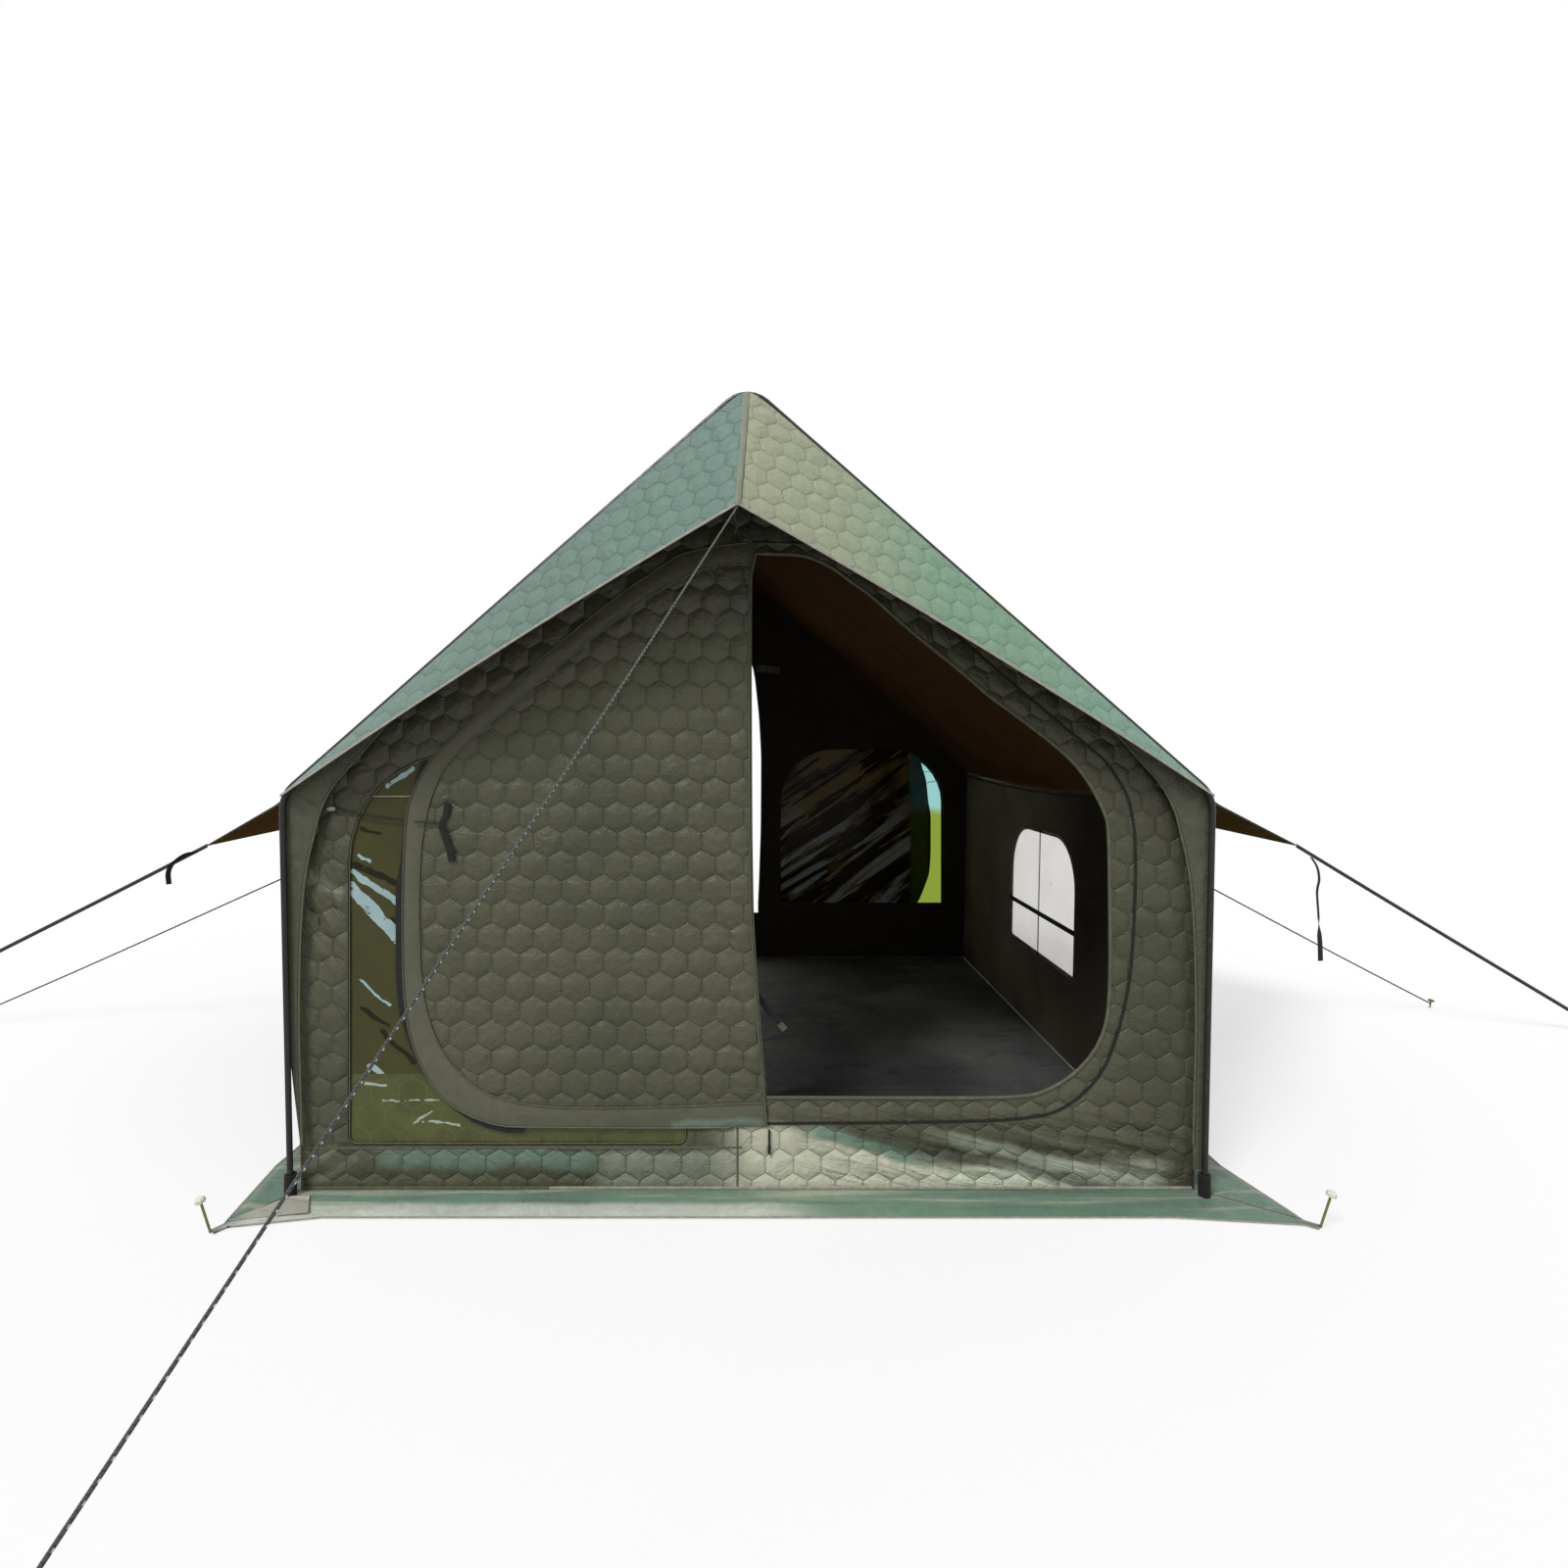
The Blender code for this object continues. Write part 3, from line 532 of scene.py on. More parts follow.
class Wiring:
    """Short ways to wire a node tree."""

    def __init__(self, tree):
        self.nodes, self.links = tree.nodes, tree.links

    def join(self, value, socket):
        if isinstance(value, Field):
            self.links.new(value.socket, socket)
        elif isinstance(value, tuple) and len(value) == 3 and socket.type == "RGBA":
            socket.default_value = (*value, 1)
        else:
            socket.default_value = value

    def node(self, kind, *values, **props):
        """A node with its first inputs joined. None leaves an input as it is."""
        made = self.nodes.new(kind)
        for key, value in props.items():
            setattr(made, key, value)
        for value, socket in zip(values, made.inputs):
            if value is not None:
                self.join(value, socket)
        return made

    def field(self, kind, *values, output=0, **props):
        return Field(self, self.node(kind, *values, **props).outputs[output])

    def math(self, operation, *values):
        return self.field("ShaderNodeMath", *values, operation=operation)

    def vector(self, operation, *values):
        output = "Value" if operation in ("LENGTH", "DOT_PRODUCT") else "Vector"
        return self.field("ShaderNodeVectorMath", *values, operation=operation, output=output)

    def scaled(self, vector, amount):
        return self.vector("SCALE", vector, None, None, amount)

    def most(self, first, *others):
        for other in others:
            first = self.math("MAXIMUM", first, other)
        return first

    def seen(self):
        """1 for rays that show what the camera sees, straight, mirrored or through film."""
        path = self.node("ShaderNodeLightPath").outputs
        names = ("Is Camera Ray", "Is Glossy Ray", "Is Transmission Ray")
        return self.most(*[Field(self, path[name]) for name in names])


class Finish(Wiring):
    """A material, its surface's coordinates and the patterns on it."""

    def __init__(self, name, **sockets):
        self.made = bpy.data.materials.new(name)
        self.made.use_nodes = True
        super().__init__(self.made.node_tree)
        self.shader = self.nodes["Principled BSDF"]
        for key, value in sockets.items():
            self.set(key.replace("_", " ").title().replace("Ior", "IOR"), value)
        self.cloth = self.field("ShaderNodeUVMap", uv_map="cloth")
        self.place = self.field("ShaderNodeTexCoord", output="Object")

    def set(self, key, value):
        self.join(value, self.shader.inputs[key])

    def face(self):
        """The place on the tent's end, (x, z), seen from outside that end."""
        return self.field("ShaderNodeUVMap", uv_map="tone")

    def noise(self, scale, detail=3.0, rough=0.5, distort=0.0, at=None, stretch=None):
        """Rolling noise, with stretch = (turn, scale along, scale across)."""
        at = at or self.cloth
        if stretch:
            turn, along, across = stretch
            mapping = self.node("ShaderNodeMapping", at, vector_type="TEXTURE")
            mapping.inputs["Rotation"].default_value[2] = turn
            mapping.inputs["Scale"].default_value = (1 / along, 1 / across, 1)
            at = Field(self, mapping.outputs[0])
        made = self.node("ShaderNodeTexNoise", at)
        facts = {"Scale": scale, "Detail": detail, "Roughness": rough, "Distortion": distort}
        for key, value in facts.items():
            made.inputs[key].default_value = value
        return Field(self, made.outputs["Fac"])

    def ramp(self, value, *stops, ease="EASE"):
        """Turns a number into a colour, or a number, between stops (place, colour or number)."""
        made = self.node("ShaderNodeValToRGB", value)
        line = made.color_ramp
        line.interpolation = ease
        while len(line.elements) < len(stops):
            line.elements.new(0.5)
        for element, (place, colour) in zip(line.elements, stops):
            element.position = place
            element.color = (*(colour if isinstance(colour, tuple) else (colour,) * 3), 1)
        return Field(self, made.outputs["Color"])

    def mix(self, share, one, two, blend="MIX"):
        made = self.node("ShaderNodeMix", data_type="RGBA", blend_type=blend)
        for value, number in ((share, 0), (one, 6), (two, 7)):
            self.join(value, made.inputs[number])
        return Field(self, made.outputs[2])

    def between(self, value, low, high, one, two):
        """One colour below low, another above high."""
        return self.mix(self.ramp(value, (low, 0.0), (high, 1.0)), one, two)

    def bump(self, height):
        """Shades by a height in metres."""
        made = self.nodes.new("ShaderNodeBump")
        made.inputs["Distance"].default_value = 1.0
        self.join(height, made.inputs["Height"])
        self.set("Normal", Field(self, made.outputs[0]))

    def wobble(self, at, scale, amount):
        made = self.node("ShaderNodeTexNoise", at)
        made.inputs["Scale"].default_value = scale
        made.inputs["Detail"].default_value = 4
        shift = self.vector("SUBTRACT", Field(self, made.outputs["Color"]), (0.5, 0.5, 0.5))
        return self.vector("ADD", at, self.scaled(shift, amount))

    def streak(self, at, start, end, width):
        """1 along a line from start to end, fading to 0 at a width beside it."""
        along = Vector((end[0] - start[0], end[1] - start[1], 0))
        across = self.vector("SUBTRACT", at, (*start, 0))
        share = self.vector("DOT_PRODUCT", across, tuple(along / along.length_squared))
        nearest = self.scaled(tuple(along), self.field("ShaderNodeClamp", share))
        away = self.vector("LENGTH", self.vector("SUBTRACT", across, nearest))
        return self.field("ShaderNodeMath", away, -1 / width, 1.0, operation="MULTIPLY_ADD", use_clamp=True)

    def band(self, value, low, full, last, high):
        """0 below low, 1 from full to last and 0 above high."""
        eased = {"interpolation_type": "SMOOTHSTEP"}
        up = self.field("ShaderNodeMapRange", value, low, full, 0.0, 1.0, **eased)
        return up * self.field("ShaderNodeMapRange", value, last, high, 1.0, 0.0, **eased)

    def seams(self, pitch):
        """The quilting at a point: 0 in a hexagon's middle to 1 on its seam, and the angle round it."""
        size = (pitch, pitch * math.sqrt(3), 1)
        half = (pitch / 2, pitch * math.sqrt(3) / 2, 0.5)
        flat = []
        for start in ((0, 0, 0), half):
            moved = self.vector("ADD", self.cloth, start)
            cell = self.vector("ADD", self.vector("DIVIDE", moved, size), (0.5, 0.5, 0.5))
            cell = self.vector("FLOOR", cell)
            near = self.vector("SUBTRACT", moved, self.vector("MULTIPLY", cell, size))
            flat.append(self.vector("MULTIPLY", near, (1, 1, 0)))
        closer = self.math("LESS_THAN", *[self.vector("LENGTH", one) for one in flat])
        pick = self.node("ShaderNodeMix", data_type="VECTOR")
        for value, number in ((closer, 0), (flat[1], 4), (flat[0], 5)):
            self.join(value, pick.inputs[number])
        near = Field(self, pick.outputs[1])
        size = self.vector("ABSOLUTE", near)
        slant = self.vector("DOT_PRODUCT", size, (0.5, math.sqrt(0.75), 0))
        edge = self.math("DIVIDE", self.math("MAXIMUM", size[0], slant), pitch / 2)
        return edge, self.math("ARCTAN2", near[1], near[0])


def woven(
    finish, colour, shade, pitch=None, crinkle=0.0012, seam_shade=0.28, tint=None, rough=(0.36, 0.54),
    puff=0.0075, size=1.0, relief=None,
):  # fmt: skip
    """Coated woven cloth: patchy colour, creases with painted shade in their hollows, a fine weave and, with
    a pitch, stitched quilting with painted shade along its seams.
    """
    base = finish.between(finish.noise(2.2, 3, 0.6, 0.4), 0.32, 0.7, colour, shade)
    if tint:
        base = tint(finish, base)
    creases = finish.noise(16 / size, 5, 0.62, 1.6)
    fine = finish.noise(70 / size, 3, 0.6, 0.8)
    grain = finish.noise(260, 2, 0.6)
    # Painted shade: darker where the crease noise, and so the bump, is low
    base = finish.mix(0.5, base, finish.ramp(creases, (0.3, 0.72), (0.72, 1.0)), "MULTIPLY")
    threads = finish.vector("SINE", finish.scaled(finish.cloth, 2 * math.pi / THREADS))
    height = creases * (crinkle * 5) + fine * crinkle + grain * 0.00008 + threads[0] * threads[1] * 0.00002
    if pitch:
        edge, turn = finish.seams(pitch)
        groove = finish.ramp(edge, (0.925, 0.0), (0.985, 1.0))
        wave = finish.math("SINE", turn * 42)
        stitch = finish.math("GREATER_THAN", edge, 0.984) * finish.math("GREATER_THAN", wave, 0)
        # Painted shade along the quilting's seam grooves
        base = finish.mix(groove * seam_shade, base, (0.0, 0.0, 0.0))
        base = finish.mix(stitch * 0.3, base, (0.20, 0.20, 0.16))
        swell = 1.0 - finish.math("POWER", edge, 2.4)
        uneven = finish.ramp(finish.noise(9, 2, 0.5), (0.3, 0.55), (0.7, 1.0))
        pull = finish.noise(38, 3, 0.6, 2.4) * finish.ramp(edge, (0.4, 0.0), (0.95, 1.0)) * 0.0032
        height = height + groove * -0.0008 + swell * uneven * puff + pull
    if relief:
        height = height + relief(finish)
    finish.set("Base Color", base)
    finish.set("Roughness", finish.ramp(finish.noise(24, 4, 0.6), (0.3, rough[0]), (0.7, rough[1])))
    finish.bump(height)
    return finish.made


# Tints that are laid over a cloth's base colour, most of them painted light and shade


def painted_visor_shadow(finish, base):
    """Painted shadow under the visor: the cloth darker and browner towards the visor's hem."""
    face = finish.face()
    share = finish.math("MULTIPLY_ADD", finish.math("ABSOLUTE", face[0]), VISOR_SLOPE, face[1])
    return finish.mix(finish.band(share, 1.42, 1.80, 3.0, 4.0) * 0.5, base, (0.020, 0.016, 0.009))


# Bands of painted sheen and painted shade in folds low on an end wall: strength, from where to where across
# and up, whether "up" runs along the folds' slant, and colour. Each range says where a band starts, is full,
# stops being full and ends.
WALL_PAINTED_LIGHT_BANDS = (
    (0.85, (-1.06, -0.94, -0.48, -0.36), (0.050, 0.085, 0.114, 0.119), False, (0.125, 0.200, 0.150)),
    (0.80, (-0.44, -0.36, -0.08, 0.02), (-0.02, 0.0, 0.100, 0.118), False, (0.230, 0.250, 0.190)),
    (0.95, (-0.12, 0.04, 0.58, 0.95), (-0.02, 0.0, 0.175, 0.225), True, (0.58, 0.58, 0.44)),
    (0.88, (0.40, 0.62, 1.08, 1.20), (-0.02, 0.0, 0.060, 0.098), False, (0.60, 0.63, 0.49)),
    (0.80, (0.10, 0.22, 0.42, 0.56), (0.175, 0.195, 0.212, 0.238), True, (0.150, 0.245, 0.185)),
    (0.75, (0.18, 0.36, 1.00, 1.16), (0.212, 0.230, 0.246, 0.268), True, (0.035, 0.035, 0.022)),
    (0.70, (0.46, 0.66, 1.05, 1.20), (0.246, 0.264, 0.276, 0.304), True, (0.29, 0.33, 0.26)),
    (0.50, (0.30, 0.48, 1.05, 1.20), (0.285, 0.300, 0.312, 0.335), True, (0.040, 0.040, 0.026)),
)

# Painted highlights along creases on an end wall: strength, start, end and half width
WALL_CREASE_HIGHLIGHTS = (
    (0.50, (-1.215, 0.875), (-1.135, 0.820), 0.026),
    (0.40, (-1.235, 0.062), (-1.160, 0.114), 0.020),
    (0.35, (-1.190, 0.030), (-1.090, 0.085), 0.018),
)


def wall_painted_light(finish, base):
    """Painted teal and beige sheen and painted shade in slanting folds on the strip at an end wall's foot,
    painted highlights along creases, and painted shade towards the wall's right side and under the visor.
    """
    at = finish.wobble(finish.face(), 6, 0.06)
    x, z = at[0], at[1]
    slant = finish.math("MULTIPLY_ADD", x, FOLD_SLANT, z)
    low = finish.band(z, -0.02, 0.0, 0.19, 0.26)
    for share, across, up, slanting, colour in WALL_PAINTED_LIGHT_BANDS:
        here = finish.band(x, *across) * finish.band(slant if slanting else z, *up) * low * share
        base = finish.mix(here, base, colour)
    for share, start, end, width in WALL_CREASE_HIGHLIGHTS:
        base = finish.mix(finish.streak(at, start, end, width) * share, base, (0.30, 0.30, 0.23))
    # Painted shade: the wall darker towards its right side, away from the key light
    right = finish.band(x, 0.85, 1.10, 2.0, 3.0)
    return painted_visor_shadow(finish, finish.mix(right * 0.24, base, (0.0, 0.0, 0.0)))


def wall_relief(finish):
    """Slanting drags between the leg and the window, and low down beside the door."""
    face = finish.face()
    x, z = face[0], face[1]
    total = None
    for stretch, across, up in (
        ((-0.95, 5, 34), (-1.30, -1.28, -1.12, -1.04), (0.30, 0.55, 0.90, 1.00)),
        ((-0.24, 3, 24), (0.05, 0.25, 1.10, 1.25), (-0.02, 0.0, 0.18, 0.30)),
    ):
        drag = finish.noise(1.0, 3, 0.55, 0.8, at=face, stretch=stretch)
        drag = drag * finish.band(x, *across) * finish.band(z, *up) * 0.012
        total = total + drag if total else drag
    return total


def flap_band_painted_light(finish, base):
    """A painted teal sheen along the foot of the flap's band, over the painted shadow under the visor."""
    sheen = finish.streak(finish.wobble(finish.face(), 12, 0.02), (-0.20, 0.190), (0.03, 0.196), 0.016)
    return painted_visor_shadow(finish, finish.mix(sheen * 0.7, base, (0.17, 0.26, 0.21)))


def outer_painted_reflection(finish, base):
    """Painted reflections on the outer cloth: teal left of the ridge, pale green-beige to teal right of it.
    """
    share = finish.math("MULTIPLY_ADD", finish.face()[0], 0.4, 0.5)
    tone = finish.ramp(
        share,
        (0.02, (0.160, 0.255, 0.208)), (0.30, (0.117, 0.200, 0.162)), (0.492, (0.117, 0.210, 0.170)),
        (0.500, (0.345, 0.365, 0.240)), (0.60, (0.320, 0.365, 0.235)), (0.70, (0.200, 0.345, 0.225)),
        (0.98, (0.180, 0.335, 0.255)), ease="LINEAR",
    )  # fmt: skip
    return finish.mix(0.22, tone, base, "OVERLAY")


def side_painted_shade(finish, base):
    """The side walls' lining, with painted shade where it is near the front."""
    near = finish.band(finish.cloth[0], -1.5, -1.4, -0.60, 0.45)
    return finish.mix(near * 0.88, base, (0.010, 0.009, 0.007))


def floor_painted_light(finish, base):
    """Painted pale patches of light, thin lines of painted shade along folds, and painted shade where the
    floor is near the front.
    """
    roll = finish.noise(1.0, 3, 0.5, 1.0, stretch=(0.12, 0.7, 4.5))
    line = finish.ramp(finish.math("ABSOLUTE", roll - 0.5), (0.003, 1.0), (0.012, 0.0))
    lit = finish.between(finish.noise(1.6, 2, 0.5, 0.5), 0.35, 0.65, base, (0.330, 0.345, 0.325))
    near = finish.band(finish.cloth[1], -1.5, -1.4, -0.80, 0.20)
    lit = finish.mix(near * 0.86, lit, (0.020, 0.021, 0.020))
    return finish.mix(line * 0.4, lit, (0.02, 0.02, 0.02))


def skirt_tint(finish, base):
    """Pale and dark lines along the skirt, a paler edge at the front left, and a darker right side."""
    rolls = finish.noise(1.0, 3, 0.5, 0.4, stretch=(0.02, 1.2, 26))
    pale = finish.mix(finish.ramp(rolls, (0.52, 0.0), (0.66, 0.85)), base, (0.40, 0.42, 0.31))
    lined = finish.mix(finish.ramp(rolls, (0.34, 0.5), (0.44, 0.0)), pale, (0.09, 0.15, 0.12))
    at = finish.wobble(finish.cloth, 6, 0.02)
    right = finish.band(at[0], 0.3, 0.9, 2.0, 3.0)
    lined = finish.mix(right * 0.22, lined, (0.06, 0.10, 0.07))
    edge = finish.band(at[1], -1.40, -1.38, -1.305, -1.275)
    left = finish.band(at[0], -2.0, -1.9, -0.05, 0.30)
    return finish.mix(edge * left * 0.85, lined, (0.60, 0.63, 0.56))


def lap_tint(finish, base):
    """Teal and pale bars on the lap at the skirt's left corner."""
    bars = finish.noise(1.0, 3, 0.5, 0.6, stretch=(-0.18, 3, 34))
    teal = finish.mix(finish.ramp(bars, (0.40, 0.8), (0.48, 0.0)), base, (0.20, 0.30, 0.25))
    return finish.mix(finish.ramp(bars, (0.58, 0.0), (0.64, 0.7)), teal, (0.60, 0.58, 0.50))


def materials():
    soft = {"specular_ior_level": 0.38, "sheen_weight": 0.06, "sheen_roughness": 0.4}
    matt = {"specular_ior_level": 0.08}
    made = {}
    for look, name, sockets, tint, colours, facts in (
        (
            "quilt", "quilted_olive", soft, wall_painted_light, (OLIVE, OLIVE_SHADE),
            {"pitch": PITCH, "relief": wall_relief},
        ),
        (
            "flap", "quilted_olive_flap", soft, painted_visor_shadow, (OLIVE, OLIVE_SHADE),
            {"pitch": PITCH, "puff": 0.0068},
        ),
        (
            "plain", "plain_olive", soft, flap_band_painted_light, ((0.105, 0.106, 0.066), (0.084, 0.086, 0.054)),
            {"crinkle": 0.0006},
        ),
        ("gusset", "gusset_olive", soft, None, ((0.088, 0.090, 0.055), (0.064, 0.066, 0.041)), {}),
        (
            "outer", "outer_green", soft, outer_painted_reflection, ((0.5, 0.5, 0.5), (0.40, 0.40, 0.40)),
            {"pitch": VISOR_PITCH, "seam_shade": 0.15, "puff": 0.0038},
        ),
        (
            "strip", "ridge_strip", soft, None, ((0.205, 0.222, 0.150), (0.155, 0.172, 0.118)),
            {"crinkle": 0.0005},
        ),
        (
            "brown", "brown_lining", matt, None, ((0.125, 0.060, 0.018), (0.095, 0.046, 0.014)),
            {"crinkle": 0.0008, "rough": DULL},
        ),
        (
            "dark", "dark_lining", matt, None, ((0.060, 0.050, 0.036), (0.045, 0.037, 0.027)),
            {"crinkle": 0.0010, "rough": DULL},
        ),
        (
            "side", "side_lining", matt, side_painted_shade, ((0.350, 0.300, 0.215), (0.260, 0.223, 0.160)),
            {"rough": DULL},
        ),
        (
            "floor", "floor_sheet", {"specular_ior_level": 0.35}, floor_painted_light,
            ((0.190, 0.198, 0.188), (0.135, 0.142, 0.136)),
            {"crinkle": 0.0016, "rough": (0.5, 0.7), "size": 8},
        ),
        (
            "skirt", "skirt_green", soft, skirt_tint, ((0.172, 0.288, 0.208), (0.146, 0.238, 0.178)),
            {"crinkle": 0.0010},
        ),
        ("lap", "pale_lap", soft, lap_tint, ((0.47, 0.45, 0.37), (0.40, 0.39, 0.32)), {"crinkle": 0.0008}),
        (
            "awning", "awning_brown", {"specular_ior_level": 0.0}, None,
            ((0.112, 0.066, 0.021), (0.088, 0.052, 0.017)), {"rough": DULL},
        ),
    ):  # fmt: skip
        finish = Finish(name, **sockets)
        made[look] = woven(finish, *colours, tint=tint, **facts)
    for name, colour in (
        ("binding", (0.014, 0.014, 0.013)), ("piping", (0.098, 0.100, 0.066)), ("hem", (0.30, 0.28, 0.24)),
        ("webbing", (0.016, 0.016, 0.015)), ("tag", (0.14, 0.14, 0.12)), ("cord", (0.010, 0.011, 0.009)),
        ("boot", (0.012, 0.012, 0.012)),
    ):  # fmt: skip
        made[name] = tape(name, colour)
    made["rope"] = rope_finish()
    made["film"] = front_film()
    made["rear_film"] = rear_film()
    made["pocket"] = pocket_finish()
    made["pane"] = pane_finish()
    made["pole"] = pole_finish()
    made["peg"] = peg_finish(False)
    made["corner_peg"] = peg_finish(True)
    return made


# Painted reflections in pale streaks and painted shade in dark creases on the films: (x, z) start, (x, z) end
# and half width
FILM_REFLECTION_STREAKS = [
    ((-1.095, 0.883), (-0.962, 0.796), 0.013),
    ((-1.098, 0.837), (-0.964, 0.692), 0.024),
    ((-1.079, 0.583), (-0.997, 0.515), 0.005),
    ((-1.050, 0.345), (-1.020, 0.325), 0.012),
    ((-1.045, 1.105), (-0.985, 1.160), 0.006),
    ((-1.000, 1.120), (-0.930, 1.172), 0.009),
    ((-0.960, 1.180), (-0.900, 1.198), 0.006),
    ((-1.085, 0.930), (-1.050, 0.915), 0.006),
]
FILM_CREASE_SHADE = [
    ((-1.075, 1.003), (-1.020, 0.990), 0.008),
    ((-1.090, 0.905), (-0.966, 0.846), 0.014),
    ((-0.985, 0.752), (-0.962, 0.722), 0.010),
    ((-1.070, 0.508), (-0.998, 0.455), 0.008),
    ((-1.020, 0.440), (-0.925, 0.355), 0.010),
]
# Painted reflections in pale streaks on the film's folded foot
POCKET_REFLECTION_STREAKS = [
    ((-1.011, 0.248), (-0.853, 0.250), 0.004),
    ((-0.929, 0.185), (-0.866, 0.223), 0.004),
    ((-1.060, 0.300), (-1.010, 0.290), 0.006),
    ((-0.900, 0.190), (-0.800, 0.184), 0.005),
]


def tape(name, colour):
    """Woven tape, ribbed both ways and a little worn."""
    finish = Finish(name + "_tape", specular_ior_level=0.15, sheen_weight=0.05)
    ribs = finish.math("SINE", finish.cloth[0] * (2 * math.pi / 0.0016))
    strands = finish.math("SINE", finish.cloth[1] * (2 * math.pi / 0.0012))
    wear = finish.noise(40, 3, 0.6)
    finish.set("Base Color", finish.between(wear, 0.35, 0.8, colour, tuple(c * 1.5 + 0.006 for c in colour)))
    finish.set("Roughness", finish.ramp(wear, (0.2, 0.6), (0.8, 0.85)))
    finish.bump(ribs * strands * 0.00012 + wear * 0.0006)
    return finish.made


def rope_finish():
    """A braided cord with pale tracer flecks."""
    finish = Finish("guy_rope", specular_ior_level=0.4, sheen_weight=0.2)
    along, across = finish.cloth[0], finish.cloth[1]
    lay, other = (finish.math("SINE", along * 1400 + across * turns) for turns in (1600, -1600))
    fleck = finish.math("GREATER_THAN", finish.math("SINE", along * (2 * math.pi / FLECKS)), 0.80)
    fleck = fleck * finish.math("LESS_THAN", finish.math("ABSOLUTE", across), 0.0013)
    body = finish.between(lay, 0.3, 0.8, (0.030, 0.031, 0.030), (0.070, 0.070, 0.066))
    finish.set("Base Color", finish.mix(fleck, body, (0.72, 0.80, 0.80)))
    finish.set("Roughness", finish.ramp(other, (0.2, 0.5), (0.8, 0.75)))
    finish.bump(lay * 0.0002 + other * 0.0002)
    return finish.made


def lines_of(finish, streaks, at):
    """Ragged streaks of painted light and shade, as they lie on creased film."""
    ragged = finish.wobble(at, 22, 0.026)
    lines = finish.most(*[finish.streak(ragged, *one) for one in streaks])
    torn = finish.ramp(finish.noise(34, 3, 0.6, 0.9), (0.33, 0.0), (0.37, 1.0))
    return finish.ramp(lines, (0.26, 0.0), (0.33, 1.0)) * torn


def glossy_film(finish, base, streak, clear):
    """Clear glossy film, creased, that its streaks hide."""
    patch = finish.noise(5, 4, 0.6, 0.8)
    finish.set("Base Color", base)
    finish.set("Transmission Weight", finish.ramp(streak, (0.0, clear), (1.0, 0.05)))
    finish.set("Roughness", finish.ramp(patch, (0.3, 0.06), (0.7, 0.16)))
    creases = finish.noise(1.0, 3, 0.5, 0.8, at=finish.face(), stretch=(-0.58, 3, 14))
    finish.bump(creases * 0.006 + patch * 0.004)
    return finish.made


def front_film():
    """Olive film with painted shade in dark creases and painted reflections in pale streaks."""
    finish = Finish("front_film", ior=1.1, coat_weight=0.25, coat_roughness=0.08)
    face = finish.face()
    patch = finish.ramp(finish.noise(5, 4, 0.6, 0.8), (0.3, 0.5), (0.7, 0.0))
    tint = finish.mix(patch, (0.125, 0.122, 0.038), (0.090, 0.082, 0.024))
    tint = finish.mix(lines_of(finish, FILM_CREASE_SHADE, face) * 0.85, tint, (0.012, 0.010, 0.004))
    streak = lines_of(finish, FILM_REFLECTION_STREAKS, face)
    return glossy_film(finish, finish.mix(streak, tint, (0.36, 0.50, 0.52)), streak, clear=0.50)


def rear_film():
    """Painted reflections of sky blue over grass green beside the flap, and dark behind it, with painted
    golden and pale reflections along its streaks.
    """
    finish = Finish("rear_film", ior=1.1, coat_weight=0.04, coat_roughness=0.08)
    face = finish.face()
    height = finish.wobble(face, 5, 0.10)[1]
    out = finish.band(face[0], -1.5, -1.4, -0.94, -0.90)
    painted_sky = finish.band(height, 0.84, 0.90, 2.0, 3.0) * out
    tint = finish.mix(painted_sky, finish.mix(out, (0.16, 0.11, 0.05), (0.34, 0.46, 0.06)), (0.42, 0.80, 0.78))
    slanting = finish.noise(1.0, 4, 0.6, 0.7, at=face, stretch=(-0.60, 1.5, 17))
    streak = finish.ramp(slanting, (0.49, 0.0), (0.53, 1.0)) * (1.0 - out)
    broad = finish.noise(3.0, 2, 0.5, at=face)
    golden = finish.between(broad, 0.35, 0.55, (0.060, 0.040, 0.016), (0.270, 0.195, 0.065))
    low = finish.ramp(finish.wobble(face, 5, 0.3)[1], (0.72, 1.0), (0.98, 0.0))
    cool = finish.ramp(slanting, (0.555, 0.0), (0.575, 1.0)) * low
    pale = finish.mix(cool, golden, (0.40, 0.48, 0.48))
    return glossy_film(finish, finish.mix(streak, tint, pale), streak, clear=0.86)


def pocket_finish():
    """The folded foot of the film, hazy over the quilting behind it, with painted reflections in pale
    streaks.
    """
    finish = Finish("film_pocket", specular_ior_level=0.3, coat_weight=0.1, coat_roughness=0.2)
    edge, _ = finish.seams(PITCH)
    patch = finish.noise(7, 4, 0.6, 1.0)
    colour = finish.between(patch, 0.3, 0.7, (0.052, 0.060, 0.012), (0.082, 0.092, 0.022))
    colour = finish.mix(finish.ramp(edge, (0.88, 0.0), (0.98, 0.35)), colour, (0.11, 0.12, 0.05))
    streak = lines_of(finish, POCKET_REFLECTION_STREAKS, finish.face())
    finish.set("Base Color", finish.mix(streak, colour, (0.36, 0.42, 0.36)))
    finish.set("Roughness", finish.ramp(patch, (0.3, 0.25), (0.7, 0.45)))
    finish.bump(patch * 0.006 + finish.noise(30, 3, 0.6, 1.5) * 0.001)
    return finish.made


def pane_finish():
    """Milky clear film."""
    finish = Finish("milky_film", ior=1.05, transmission_weight=0.92, roughness=0.35)
    cloud = finish.noise(6, 3, 0.6)
    finish.set("Base Color", finish.between(cloud, 0.3, 0.7, (0.86, 0.84, 0.80), (0.80, 0.78, 0.75)))
    finish.bump(cloud * 0.003)
    return finish.made


